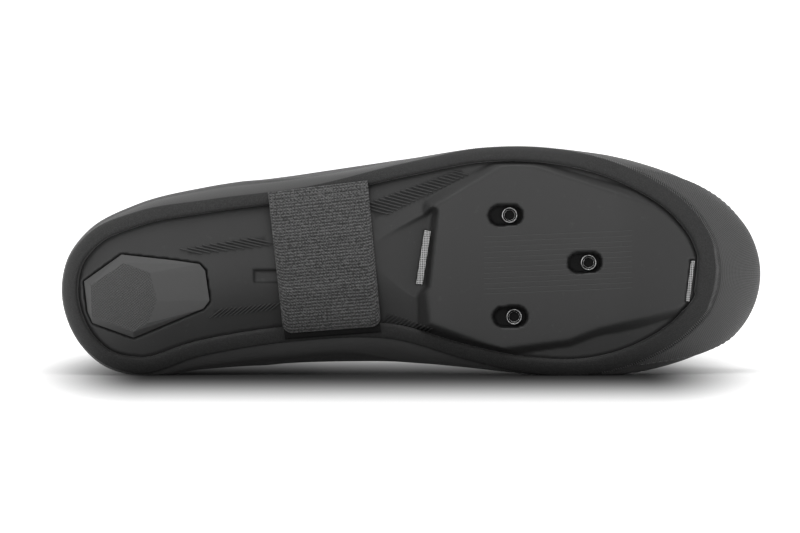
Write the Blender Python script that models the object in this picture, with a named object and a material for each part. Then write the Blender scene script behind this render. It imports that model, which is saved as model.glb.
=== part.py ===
"""Cycling overshoe for the right foot, lying on its inner side with the sole showing."""

import math

import bmesh
import bpy
from mathutils import Matrix, Vector

# Driving sizes in metres
MM = 0.001
LENGTH = 285 * MM
BALL_WIDTH = 95 * MM
INSTEP_HEIGHT = 89 * MM
COLLAR_HEIGHT = 150 * MM
HEEL_LIFT = 4 * MM

# Walls, seams and fits
WALL = 2.2 * MM
SEAM_GAP = 0.3 * MM
RIM_THICK = 1.2 * MM
CAP_THICK = 0.9 * MM
SETTLE = 0.9 * MM

# Sole
SOLE_THICK = 3.5 * MM
SOLE_RECESS = 0.8 * MM
OPENING_GAP = 0.6 * MM
PLATEAU_LEVEL = 0.3 * MM
CHAMFER_RUN = 6.0 * MM
CHAMFER_RISE = 8.0 * MM
INSOLE_THICK = 3.0 * MM

# Bolt slots and threaded barrels
AXIS_SLOPE = math.radians(2.4)
SLOT_LENGTH = 13.6 * MM
SLOT_WIDTH = 8.0 * MM
NUT_RADIUS = 3.35 * MM
NUT_BORE = 2.2 * MM
NUT_DEPTH = 1.2 * MM
NUT_FLANGE_LENGTH = 19.0 * MM
NUT_FLANGE_WIDTH = 11.0 * MM
NUT_FLANGE_THICK = 1.6 * MM

# Strap
STRAP_THICK = 1.8 * MM
PATCH_THICK = 1.0 * MM
STRAP_CORNER = 4.0 * MM

# Counts
COLUMNS = 72
HALF = COLUMNS // 2
THROAT_COLUMN = 14
RIM_ROWS = 3
TURN_ROWS = 5
SIDE_ROWS = 11
ROWS = RIM_ROWS + TURN_ROWS + SIDE_ROWS
SOLE_RINGS = 3

# The outline as seen from beneath, round from the heel along the inner side
# along: share of LENGTH. out: share of BALL_WIDTH, outer side of the foot positive.
# tuck: outline to the band's outer edge. rim: the band's width. knee: height of
# the widest line above the band. All three are shares of BALL_WIDTH.
OUTLINE_COLUMNS = ("along", "out", "tuck", "rim", "knee", "square")
OUTLINE = (
    (0.0030, -0.080, 0.020, 0.052, 0.22, 2.2),
    (0.0290, -0.318, 0.018, 0.052, 0.15, 2.2),
    (0.0630, -0.412, 0.018, 0.054, 0.11, 2.2),
    (0.1150, -0.458, 0.020, 0.062, 0.10, 2.2),
    (0.2040, -0.430, 0.060, 0.064, 0.13, 2.2),
    (0.3450, -0.407, 0.100, 0.064, 0.20, 2.2),
    (0.4750, -0.400, 0.098, 0.062, 0.19, 2.2),
    (0.5750, -0.424, 0.040, 0.058, 0.12, 2.2),
    (0.6600, -0.452, 0.014, 0.060, 0.09, 2.3),
    (0.7650, -0.466, 0.020, 0.066, 0.09, 2.3),
    (0.8500, -0.432, 0.060, 0.076, 0.11, 2.3),
    (0.9180, -0.362, 0.115, 0.082, 0.14, 2.3),
    (0.9640, -0.272, 0.160, 0.084, 0.15, 2.3),
    (0.9890, -0.150, 0.178, 0.084, 0.15, 2.3),
    (0.9960, -0.005, 0.180, 0.084, 0.15, 2.3),
    (0.9830, 0.133, 0.165, 0.084, 0.15, 2.3),
    (0.9560, 0.240, 0.130, 0.084, 0.16, 2.3),
    (0.9130, 0.340, 0.092, 0.080, 0.17, 2.3),
    (0.8260, 0.447, 0.044, 0.068, 0.17, 2.3),
    (0.7300, 0.500, 0.014, 0.056, 0.17, 2.3),
    (0.6100, 0.512, 0.010, 0.050, 0.17, 2.3),
    (0.4950, 0.464, 0.024, 0.048, 0.20, 2.2),
    (0.3500, 0.402, 0.060, 0.048, 0.24, 2.2),
    (0.2100, 0.350, 0.062, 0.050, 0.26, 2.2),
    (0.1100, 0.276, 0.040, 0.054, 0.25, 2.2),
    (0.0420, 0.168, 0.024, 0.054, 0.25, 2.2),
    (0.0120, 0.050, 0.020, 0.052, 0.25, 2.2),
)

# Height of the band's underside along the shoe: share of LENGTH, share of HEEL_LIFT
SOLE_RISE = (
    (0.00, 1.85), (0.05, 1.15), (0.12, 1.00), (0.22, 1.35), (0.32, 2.10), (0.42, 2.45),
    (0.52, 1.95), (0.60, 1.15), (0.68, 0.75), (0.76, 0.85), (0.84, 1.50), (0.92, 2.60),
    (1.00, 3.90),
)

# How far the sole's middle swells below its edge: share of LENGTH, share of HEEL_LIFT
SOLE_SWELL = (
    (0.00, 0.50), (0.12, 0.80), (0.25, 1.10), (0.42, 1.15), (0.52, 0.80), (0.62, 0.50),
    (0.80, 0.40), (1.00, 0.30),
)

# Top of the foot from the toe to the collar's front: share of the way, share of
# LENGTH, share of BALL_WIDTH, share of INSTEP_HEIGHT, and share of COLLAR_HEIGHT added
RIDGE = (
    (0.00, 0.912, 0.000, 0.500, 0.000),
    (0.14, 0.842, 0.012, 0.590, 0.000),
    (0.32, 0.725, 0.026, 0.690, 0.000),
    (0.52, 0.595, 0.020, 0.815, 0.000),
    (0.72, 0.472, 0.010, 0.985, 0.000),
    (0.87, 0.396, -0.008, 0.620, 0.375),
    (1.00, 0.356, -0.030, 0.000, 1.013),
)

# Collar loop: share of the way from front to back, share of COLLAR_HEIGHT
COLLAR_RISE = ((0.0, 1.013), (0.35, 0.975), (0.7, 0.985), (1.0, 1.030))
COLLAR_MIDDLE = 0.190
COLLAR_SIDE = -0.048
COLLAR_HALF_LENGTH = 0.166
COLLAR_HALF_WIDTH = 0.350
ANKLE_PINCH = 3.5 * MM

# How far the inner side leans in per height above its widest line, so that the shoe lies
# on the edge by its sole
WALL_LEAN = 0.11

# The toe panel's upper edge: share of the way round the cap, rows above the band
CAP_START = 28
CAP_END = 44
CAP_EDGE = ((0.0, 0.5), (0.25, 4.6), (0.5, 7.4), (0.75, 4.6), (1.0, 0.5))

# Plan shapes in shares of LENGTH and BALL_WIDTH
PLATEAU = (
    (0.532, 0.256), (0.648, 0.461), (0.818, 0.293), (0.875, 0.230), (0.925, 0.060),
    (0.925, -0.140), (0.832, -0.217), (0.766, -0.264), (0.725, -0.312), (0.628, -0.349),
    (0.528, -0.239), (0.522, -0.080),
)
PLATEAU_FLAT = (0.560, 0.785)
HEEL_PAD = (
    (0.036, -0.052), (0.090, 0.064), (0.166, 0.038), (0.202, 0.021), (0.210, -0.008),
    (0.216, -0.137), (0.207, -0.171), (0.166, -0.222), (0.107, -0.296), (0.048, -0.231),
    (0.041, -0.183),
)
PAD_CROWN = (
    (0.047, -0.068), (0.094, 0.025), (0.131, -0.017), (0.141, -0.137), (0.128, -0.231),
    (0.107, -0.268), (0.048, -0.200),
)
SLOT_CENTRES = {
    "rear_lateral": (0.636, 0.223),
    "rear_medial": (0.642, -0.210),
    "front": (0.748, 0.020),
}
NUT_OFFSET = 1.6 * MM
SCOOP = ((0.425, 0.090), (0.532, 0.238), (0.5205, -0.075), (0.509, -0.122), (0.425, -0.070))
SCOOP_DEPTH = 2.8 * MM

# The vents' ends. The front one keeps to the band at the toe: back from the toe and out,
# both shares of BALL_WIDTH
MID_VENT = ((0.5255, 0.162), (0.5130, -0.073))
FRONT_VENT = ((0.2805, 0.030), (0.3045, -0.150))
MID_VENT_WIDTH = 3.3 * MM
FRONT_VENT_WIDTH = 2.2 * MM
FRONT_VENT_RUN = 3.0 * MM
VENT_DEPTH = 2.6 * MM
MESH_THICK = 1.0 * MM
RECESS_BOX = ((0.2785, -0.008), (0.3250, -0.060))
RECESS_DEPTH = 1.0 * MM
STRAP_PLAN = {
    "heel_lateral": (0.2985, 0.324),
    "toe_lateral": (0.4400, 0.374),
    "toe_medial": (0.4590, -0.248),
    "heel_medial": (0.3200, -0.278),
}
PATCH_SHOWS = 2.4 * MM


def clear_scene():
    for item in list(bpy.data.objects):
        bpy.data.objects.remove(item, do_unlink=True)


def hermite(rows, column, t, closed=False, knots=None):
    """Smooth value of one column of a table at knot value t."""
    keys = knots if knots else [row[0] for row in rows]
    count = len(rows)
    values = [row[column] for row in rows]
    if not closed:
        t = min(max(t, keys[0]), keys[-1])
    for i in range(count - 1 if not closed else count):
        left = keys[i]
        right = keys[i + 1] if i + 1 < len(keys) else keys[-1]
        if t <= right:
            break
    span = right - left
    s = (t - left) / span if span else 0.0
    a = values[i % count]
    b = values[(i + 1) % count]

    def slope(j):
        if closed:
            period = keys[-1]
            before = keys[j % count] - (keys[(j - 1) % count] - (period if j % count == 0 else 0))
            after = keys[j % count + 1] - keys[j % count]
            low = (values[j % count] - values[(j - 1) % count]) / before
            high = (values[(j + 1) % count] - values[j % count]) / after
        else:
            if j == 0:
                return (values[1] - values[0]) / (keys[1] - keys[0])
            if j == count - 1:
                return (values[-1] - values[-2]) / (keys[-1] - keys[-2])
            before = keys[j] - keys[j - 1]
            after = keys[j + 1] - keys[j]
            low = (values[j] - values[j - 1]) / before
            high = (values[j + 1] - values[j]) / after
        return (low * after + high * before) / (before + after)

    s2 = s * s
    s3 = s2 * s
    ease = 3 * s2 - 2 * s3
    return (
        a * (1 - ease)
        + b * ease
        + slope(i) * span * (s3 - 2 * s2 + s)
        + slope(i + 1) * span * (s3 - s2)
    )


def place(along, out, height=0.0):
    """Shares of length and width to a point of the standing shoe: X to the toe, Y inwards."""
    return Vector((along * LENGTH, -out * BALL_WIDTH, height))


def toe_place(back, out):
    """A plan point by its way back from the toe, in shares of the ball's width."""
    toe = max(row[0] for row in OUTLINE) * LENGTH
    return Vector((toe - back * BALL_WIDTH, -out * BALL_WIDTH, 0.0))


def rise(x):
    return hermite(SOLE_RISE, 1, x / LENGTH) * HEEL_LIFT


def swell(x):
    return hermite(SOLE_SWELL, 1, x / LENGTH) * HEEL_LIFT


def outline_stations():
    """Rows of the outline table at evenly spaced stations, heel to toe and back."""
    count = len(OUTLINE)
    knots = [0.0]
    for i in range(count):
        a = place(*OUTLINE[i][:2])
        b = place(*OUTLINE[(i + 1) % count][:2])
        knots.append(knots[-1] + (b - a).length)
    toe = max(range(count), key=lambda i: OUTLINE[i][0])

    def row(t):
        return [hermite(OUTLINE, c, t, True, knots) for c in range(len(OUTLINE_COLUMNS))]

    stations = []
    for start, end in ((0.0, knots[toe]), (knots[toe], knots[-1])):
        fine = 400
        rows = [row(start + (end - start) * i / fine) for i in range(fine + 1)]
        run = [0.0]
        for a, b in zip(rows, rows[1:]):
            run.append(run[-1] + (place(*b[:2]) - place(*a[:2])).length)
        for step in range(HALF):
            target = run[-1] * step / HALF
            i = max(j for j in range(fine) if run[j] <= target + 1e-12)
            share = (target - run[i]) / (run[i + 1] - run[i])
            stations.append([a + (b - a) * share for a, b in zip(rows[i], rows[i + 1])])
    return stations


def ridge_point(share):
    x = hermite(RIDGE, 1, share) * LENGTH
    y = -hermite(RIDGE, 2, share) * BALL_WIDTH
    z = hermite(RIDGE, 3, share) * INSTEP_HEIGHT + hermite(RIDGE, 4, share) * COLLAR_HEIGHT
    return Vector((x, y, z))


def ridge_slope(step):
    """How steeply the ridge drops per length at a column in front of the collar."""
    share = max(0.0, min(1.0, (HALF - step) / (HALF - THROAT_COLUMN)))
    fore = ridge_point(max(share - 0.02, 0.0))
    back = ridge_point(min(share + 0.02, 1.0))
    return (fore.z - back.z) / (fore.x - back.x)


def collar_point(share, side):
    """A point of the collar's edge. share 0 is its front and 1 its back."""
    turn = math.pi * share
    reach = COLLAR_HALF_LENGTH * LENGTH * math.cos(turn)
    half = COLLAR_HALF_WIDTH * BALL_WIDTH * math.sin(turn)
    x = COLLAR_MIDDLE * LENGTH + reach
    y = -COLLAR_SIDE * BALL_WIDTH + side * half
    return Vector((x, y, hermite(COLLAR_RISE, 1, share) * COLLAR_HEIGHT))


def top_point(k):
    """Where column k ends: on the ridge in front of the collar, or on the collar's edge."""
    step = min(k, COLUMNS - k)
    side = 1 if k <= HALF else -1
    if step >= THROAT_COLUMN:
        return ridge_point((HALF - step) / (HALF - THROAT_COLUMN))
    return collar_point(1 - step / THROAT_COLUMN, side)


def ease(share):
    share = min(max(share, 0.0), 1.0)
    return share * share * (3 - 2 * share)


def bezier(points, t):
    a, b, c, d = points
    s = 1 - t
    return a * s**3 + b * (3 * s * s * t) + c * (3 * s * t * t) + d * t**3


def column(k, stations):
    """Points of one column of the skin, from the opening's edge up to its top."""
    along, out, tuck, rim, knee, square = stations[k]
    before = stations[(k - 1) % COLUMNS]
    after = stations[(k + 1) % COLUMNS]
    run = place(*after[:2]) - place(*before[:2])
    outward = Vector((-run.y, run.x, 0.0)).normalized()
    widest = place(along, out)
    reach = (tuck + rim) * BALL_WIDTH
    tuck = tuck * BALL_WIDTH
    knee = knee * BALL_WIDTH
    power = 2 / square

    def turn(angle):
        inset = reach * (1 - math.sin(angle) ** power)
        spot = widest - outward * inset
        lift = knee * (1 - max(math.cos(angle), 0.0) ** power)
        return spot + Vector((0, 0, rise(spot.x) + lift))

    rim_angle = math.asin((1 - tuck / reach) ** (1 / power))
    angles = [rim_angle * i / RIM_ROWS for i in range(RIM_ROWS)]
    angles += [rim_angle + (math.pi / 2 - rim_angle) * i / TURN_ROWS for i in range(TURN_ROWS)]
    points = [turn(angle) for angle in angles]
    low = turn(math.pi / 2)
    top = top_point(k)
    step = min(k, COLUMNS - k)
    lean = ease((THROAT_COLUMN + 5 - step) / 10)
    across = Vector((top.x - low.x, top.y - low.y, 0.0))
    level = across.length
    across = across.normalized() if level > 1e-6 else -outward
    height = top.z - low.z
    upward = Vector((-0.25 * (1 - abs(2 * step / THROAT_COLUMN - 1)) * lean, 0, 1))
    if step > THROAT_COLUMN - 4:
        upward = Vector((-0.5 * lean, 0, 1))
    flat = across + Vector((0, 0, across.x * ridge_slope(step)))
    arrive = (flat * (1 - lean) + upward.normalized() * lean).normalized()
    pull = (level * 0.62) * (1 - lean) + height * 0.42 * lean
    pinch = across * ANKLE_PINCH * lean
    start = height * (0.50 * (1 - lean) + 0.34 * lean)
    inner = ease(min(k, HALF - k) / 5) if k < HALF else 0.0
    bulge = outward * (0.04 * height * (1 - lean) * (1 - inner) - WALL_LEAN * start * inner)
    handles = (
        low,
        low + Vector((0, 0, start)) + bulge,
        top - arrive * pull + pinch,
        top,
    )
    points += [bezier(handles, i / SIDE_ROWS) for i in range(SIDE_ROWS + 1)]
    return points


def make_skin():
    """The upper's outer surface as columns of points and of outward normals."""
    stations = outline_stations()
    points = [column(k, stations) for k in range(COLUMNS)]
    normals = []
    for k in range(COLUMNS):
        line = []
        for j in range(ROWS + 1):
            ahead = points[(k + 1) % COLUMNS][j]
            behind = points[(k - 1) % COLUMNS][j]
            upper = points[k][min(j + 1, ROWS)]
            lower = points[k][max(j - 1, 0)]
            line.append((ahead - behind).cross(upper - lower).normalized())
        normals.append(line)
    for step in range(THROAT_COLUMN, HALF + 1):
        other = COLUMNS - step
        spot = points[step][ROWS]
        near = points[step][ROWS - 1]
        far = points[other][ROWS - 1] if step < HALF else points[step][ROWS - 1]
        if step < HALF:
            ridge = points[min(step + 1, HALF)][ROWS] - points[max(step - 1, THROAT_COLUMN)][ROWS]
            normal = ridge.cross(far - near).normalized()
        else:
            normal = (points[step][ROWS - 1] - spot).cross(
                points[HALF - 1][ROWS - 1] - points[HALF + 1][ROWS - 1]
            ).normalized()
        if normal.z < 0:
            normal = -normal
        normals[step][ROWS] = normal
        if step < HALF:
            normals[other][ROWS] = normal
    if normals[0][RIM_ROWS + TURN_ROWS].x > 0:
        normals = [[-n for n in line] for line in normals]
        for step in range(THROAT_COLUMN, HALF + 1):
            normals[step][ROWS] = -normals[step][ROWS]
            if step < HALF:
                normals[COLUMNS - step][ROWS] = normals[step][ROWS]
    return points, normals


def on_skin(skin, k, row, depth=0.0):
    """A point of column k at a fractional row, raised by depth along the normal."""
    points, normals = skin
    k = k % COLUMNS
    j = min(int(row), ROWS - 1)
    share = row - j
    spot = points[k][j].lerp(points[k][j + 1], share)
    normal = normals[k][j].lerp(normals[k][j + 1], share).normalized()
    return spot + normal * depth


def row_at_height(skin, k, lift, depth):
    """The fractional row of column k where the offset skin is lift above the band."""
    base = on_skin(skin, k, 0).z
    last = 0.0
    for i in range(1, 10 * ROWS):
        row = i / 10
        if on_skin(skin, k, row, depth).z - base >= lift:
            return row
        last = row
    return last


def finish(name, bm, material, smooth=True):
    """Turn a bmesh into a named object with its own material."""
    bmesh.ops.remove_doubles(bm, verts=bm.verts[:], dist=1e-6)
    bmesh.ops.recalc_face_normals(bm, faces=bm.faces[:])
    mesh = bpy.data.meshes.new(name)
    bm.to_mesh(mesh)
    bm.free()
    for face in mesh.polygons:
        face.use_smooth = smooth
    item = bpy.data.objects.new(name, mesh)
    bpy.context.scene.collection.objects.link(item)
    if material:
        item.data.materials.append(material)
    return item


def paint(name, colour, roughness, metallic=0.0):
    material = bpy.data.materials.new(name)
    material.use_nodes = True
    shader = material.node_tree.nodes["Principled BSDF"]
    shader.inputs["Base Color"].default_value = (*colour, 1.0)
    shader.inputs["Roughness"].default_value = roughness
    shader.inputs["Metallic"].default_value = metallic
    return material


def loft(bm, rings, closed=True, caps=False):
    """Quads between rings of equal length."""
    lines = [[bm.verts.new(p) for p in ring] for ring in rings]
    for low, high in zip(lines, lines[1:]):
        count = len(low)
        for i in range(count if closed else count - 1):
            j = (i + 1) % count
            bm.faces.new((low[i], low[j], high[j], high[i]))
    if caps:
        bm.faces.new(lines[0])
        bm.faces.new(lines[-1][::-1])
    return lines


def boolean(target, cutter, operation):
    """Apply an exact boolean and drop the cutter."""
    cutter.hide_render = True
    cutter.display_type = "WIRE"
    modifier = target.modifiers.new(operation.lower(), "BOOLEAN")
    modifier.solver = "EXACT"
    modifier.operation = operation
    modifier.object = cutter
    graph = bpy.context.evaluated_depsgraph_get()
    mesh = bpy.data.meshes.new_from_object(target.evaluated_get(graph))
    target.modifiers.clear()
    target.data = mesh
    bpy.data.objects.remove(cutter, do_unlink=True)


def prism(name, plan, low, high, grow=0.0):
    """A closed block over a plan outline of points, between two levels or level functions."""
    bm = bmesh.new()
    middle = sum(plan, Vector((0, 0, 0))) / len(plan)
    rings = []
    for level, spread in ((low, 0.0), (high, grow)):
        ring = []
        for i, p in enumerate(plan):
            q = p.copy()
            if spread:
                before = (p - plan[i - 1]).normalized()
                after = (plan[(i + 1) % len(plan)] - p).normalized()
                side = Vector((before.y + after.y, -before.x - after.x, 0)).normalized()
                if side.dot(p - middle) < 0:
                    side = -side
                q += side * spread
            q.z = level(q) if callable(level) else level
            ring.append(q)
        rings.append(ring)
    loft(bm, rings, True, True)
    return finish(name, bm, None, False)


def make_upper(skin, material):
    bm = bmesh.new()
    rings = []
    for row in range(ROWS + 1):
        rings.append([on_skin(skin, k, row) for k in range(COLUMNS)])
    for row in range(ROWS, -1, -1):
        rings.append([on_skin(skin, k, row, -WALL) for k in range(COLUMNS)])
    lines = loft(bm, rings)
    # The front columns of the two edges are joined at the ridge, so only the
    # collar's columns get an edge strip, and the opening's edge closes all round.
    top_out = lines[ROWS]
    top_in = lines[ROWS + 1]
    joined = []
    for k in range(THROAT_COLUMN, COLUMNS - THROAT_COLUMN):
        for face in top_out[k].link_faces:
            if top_out[k + 1] in face.verts and top_in[k] in face.verts:
                joined.append(face)
    bmesh.ops.delete(bm, geom=joined, context="FACES")
    for i in range(COLUMNS):
        j = (i + 1) % COLUMNS
        bm.faces.new((lines[-1][i], lines[-1][j], lines[0][j], lines[0][i]))
    return finish("upper", bm, material)


def make_rim(skin, material):
    """The band round the opening, on the outside of the turned-in edge."""
    bm = bmesh.new()
    low = SEAM_GAP
    high = SEAM_GAP + RIM_THICK
    edge = 0.35
    rings = [[on_skin(skin, k, row, high) for k in range(COLUMNS)] for row in (edge, 1, 2)]
    rings.append([on_skin(skin, k, RIM_ROWS, high - 0.1 * MM) for k in range(COLUMNS)])
    rings.append([on_skin(skin, k, RIM_ROWS, low) for k in range(COLUMNS)])
    rings += [[on_skin(skin, k, row, low) for k in range(COLUMNS)] for row in (2, 1, 0)]
    rings.append([on_skin(skin, k, 0, high - 0.35 * MM) for k in range(COLUMNS)])
    lines = loft(bm, rings)
    for i in range(COLUMNS):
        j = (i + 1) % COLUMNS
        bm.faces.new((lines[-1][i], lines[-1][j], lines[0][j], lines[0][i]))
    return finish("rim_binding", bm, material)


def make_toe_cap(skin, material):
    """The panel round the toe, from the band's edge up to its own seam."""
    bm = bmesh.new()
    start = RIM_ROWS + 0.12
    tallest = start + max(row[1] for row in CAP_EDGE)
    rings = []
    for k in range(CAP_START, CAP_END + 1):
        share = (k - CAP_START) / (CAP_END - CAP_START)
        top = start + hermite(CAP_EDGE, 1, share)
        rows = [start] + [float(j) for j in range(RIM_ROWS + 1, int(tallest) + 1)] + [tallest]
        rows = [min(row, top) for row in rows]
        outer = [on_skin(skin, k, row, SEAM_GAP + CAP_THICK) for row in rows]
        inner = [on_skin(skin, k, row, SEAM_GAP) for row in rows]
        rings.append(outer + inner[::-1])
    loft(bm, rings, True, True)
    bmesh.ops.remove_doubles(bm, verts=bm.verts[:], dist=1e-6)
    bmesh.ops.dissolve_degenerate(bm, edges=bm.edges[:], dist=1e-6)
    return finish("toe_cap", bm, material)


def spine_point(a, b, level):
    """Where the sole's columns meet in its middle."""
    share = (a.x + b.x) / (2 * LENGTH)
    x = LENGTH * (0.12 + 0.74 * share)
    y = (a.y + b.y) / 2
    return Vector((x, y, level(x)))


def add_disc(bm, edge, level, count=SOLE_RINGS):
    """Close a ring of vertices with quads that meet on the sole's middle line."""
    lines = [edge]
    middle = {}
    for k in range(HALF + 1):
        middle[k] = spine_point(edge[k].co, edge[(COLUMNS - k) % COLUMNS].co, level)
        middle[(COLUMNS - k) % COLUMNS] = middle[k]
    for ring in range(1, count + 1):
        share = ring / count
        line = []
        for k in range(COLUMNS):
            spot = edge[k].co.lerp(middle[k], share)
            spot.z = level(spot.x, share, edge[k].co.z, edge[k].co.x)
            line.append(bm.verts.new(spot))
        lines.append(line)
    for low, high in zip(lines, lines[1:]):
        for i in range(COLUMNS):
            j = (i + 1) % COLUMNS
            bm.faces.new((low[i], low[j], high[j], high[i]))


def sole_under(x, share=1.0, edge_level=None, edge_x=None):
    """Height of the sole's underside."""
    level = rise(x) + SOLE_RECESS - swell(x) * math.sin(math.pi / 2 * share)
    if edge_level is None:
        return level
    drift = edge_level - rise(edge_x) - SOLE_RECESS
    return level + drift * (1 - share) ** 3


def sole_over(x, share=1.0, edge_level=None, edge_x=None):
    """Height of the sole's upper side."""
    level = rise(x) + WALL + SEAM_GAP + SOLE_THICK
    if edge_level is None:
        return level
    drift = edge_level - rise(edge_x) - WALL - SEAM_GAP - SOLE_THICK
    return level + drift * (1 - share) ** 2


def opening_ring(skin, gap, level=None):
    """The opening's edge in plan, moved inwards by gap."""
    ring = []
    for k in range(COLUMNS):
        spot = on_skin(skin, k, 0, -WALL)
        ahead = on_skin(skin, k + 1, 0, -WALL)
        behind = on_skin(skin, k - 1, 0, -WALL)
        run = ahead - behind
        inward = Vector((run.y, -run.x, 0)).normalized()
        spot = spot + inward * gap
        if level is not None:
            spot.z = level
        ring.append(spot)
    return ring


def make_sole(skin, material):
    """The sole's plate: its side follows the inside of the upper, its face fills the opening."""
    bm = bmesh.new()
    depth = -WALL - SEAM_GAP
    lift = WALL + SEAM_GAP + SOLE_THICK
    tops = [row_at_height(skin, k, lift, depth) for k in range(COLUMNS)]
    rings = []
    steps = 3
    for i in range(steps, -1, -1):
        rings.append([on_skin(skin, k, tops[k] * i / steps, depth) for k in range(COLUMNS)])
    ledge = opening_ring(skin, OPENING_GAP)
    rings.append([Vector((p.x, p.y, rings[-1][k].z)) for k, p in enumerate(ledge)])
    rings.append([Vector((p.x, p.y, rise(p.x) + SOLE_RECESS)) for p in ledge])
    lines = loft(bm, rings)
    add_disc(bm, lines[0], sole_over, 2)
    add_disc(bm, lines[-1], sole_under)
    return finish("outsole", bm, material)


def make_insole(skin, material):
    bm = bmesh.new()
    depth = -WALL - SEAM_GAP
    low = WALL + SEAM_GAP + SOLE_THICK + SEAM_GAP
    rings = []
    for lift in (low + INSOLE_THICK, low + 0.1 * MM):
        rows = [row_at_height(skin, k, lift, depth) for k in range(COLUMNS)]
        rings.append([on_skin(skin, k, rows[k], depth) for k in range(COLUMNS)])
    lines = loft(bm, rings)

    def over(x, share=1.0, edge_level=None, edge_x=None):
        level = rise(x) + low + INSOLE_THICK
        if edge_level is None:
            return level
        return level + (edge_level - rise(edge_x) - low - INSOLE_THICK) * (1 - share) ** 2

    def under(x, share=1.0, edge_level=None, edge_x=None):
        level = sole_over(x) + SEAM_GAP
        if edge_level is None:
            return level
        return level + (edge_level - sole_over(edge_x) - SEAM_GAP) * (1 - share) ** 2

    add_disc(bm, lines[0], over, 2)
    add_disc(bm, lines[-1], under, 2)
    return finish("insole", bm, material)


def plateau_level(p):
    """Height of the raised forefoot face: level under the bolts, turned up at both ends."""
    share = p.x / LENGTH
    start, end = PLATEAU_FLAT
    if share > end:
        return PLATEAU_LEVEL + (share - end) ** 2 * LENGTH * 1.9
    if share < start:
        return PLATEAU_LEVEL + (start - share) ** 2 * LENGTH * 2.0
    return PLATEAU_LEVEL


def dense(plan, step):
    """A closed plan outline with extra points, so that a bent level follows its curve."""
    out = []
    for i, p in enumerate(plan):
        q = plan[(i + 1) % len(plan)]
        parts = max(1, round((q - p).length / step))
        out += [p.lerp(q, j / parts) for j in range(parts)]
    return out


def make_plateau(skin):
    """The raised face as strips along the shoe, kept inside the opening."""
    plan = [place(*row) for row in PLATEAU]
    block = prism("plateau", plan, PLATEAU_LEVEL - 0.05 * MM, PLATEAU_LEVEL + CHAMFER_RISE,
                  CHAMFER_RUN)
    keep = bmesh.new()
    cuts = [PLATEAU_FLAT[0] - 0.10, PLATEAU_FLAT[0] - 0.03, *PLATEAU_FLAT]
    cuts += [PLATEAU_FLAT[1] + 0.03 * i for i in range(1, 7)]
    half = BALL_WIDTH * 0.8
    ceiling = 40 * MM
    rings = []
    for share in cuts:
        x = share * LENGTH
        z = plateau_level(Vector((x, 0, 0)))
        rings.append([Vector((x, -half, z)), Vector((x, half, z)),
                      Vector((x, half, ceiling)), Vector((x, -half, ceiling))])
    loft(keep, rings, True, True)
    boolean(block, finish("plateau_keep", keep, None, False), "INTERSECT")
    inside = prism("opening_keep", opening_ring(skin, OPENING_GAP, 0.0), -20 * MM, 40 * MM)
    boolean(block, inside, "INTERSECT")
    return block


def stadium(centre, length, width, slope, sides=8):
    """Plan outline of a slot with round ends."""
    radius = width / 2
    half = length / 2 - radius
    along = Vector((math.cos(slope), -math.sin(slope), 0))
    across = Vector((math.sin(slope), math.cos(slope), 0))
    ring = []
    for end in (1, -1):
        for i in range(sides + 1):
            turn = math.pi * i / sides - math.pi / 2
            ring.append(
                centre + along * (end * (half + radius * math.cos(turn)))
                + across * (end * radius * math.sin(turn))
            )
    return ring


def bar(ends, width, forward=0.0):
    """Plan outline of a straight bar between two points, and more of it towards the toe."""
    a, b = ends
    side = Vector((-(b - a).y, (b - a).x, 0)).normalized() * width / 2
    if side.x < 0:
        side = -side
    ahead = side.normalized() * forward
    return [a + side + ahead, b + side + ahead, b - side, a - side]


def make_heel_pad(material):
    """The pad: a flat crown, chamfered sides and a long slope towards the toe."""
    bm = bmesh.new()
    crown_level = sole_under(0.11 * LENGTH) - 3.4 * MM
    for p in PAD_CROWN:
        spot = place(*p)
        spot.z = crown_level
        bm.verts.new(spot)
    for p in HEEL_PAD:
        spot = place(*p)
        shrink = (place(0.12, -0.11) - spot).normalized() * SEAM_GAP
        for level in (sole_under(spot.x) - 0.3 * MM, sole_under(0.12 * LENGTH) + 1.8 * MM):
            q = spot + shrink
            q.z = level
            bm.verts.new(q)
    hull = bmesh.ops.convex_hull(bm, input=bm.verts[:])
    loose = [v for v in hull["geom_interior"] if isinstance(v, bmesh.types.BMVert)]
    bmesh.ops.delete(bm, geom=loose, context="VERTS")
    bmesh.ops.dissolve_limit(bm, angle_limit=0.01, verts=bm.verts[:], edges=bm.edges[:])
    return finish("heel_pad", bm, material, False)


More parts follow.
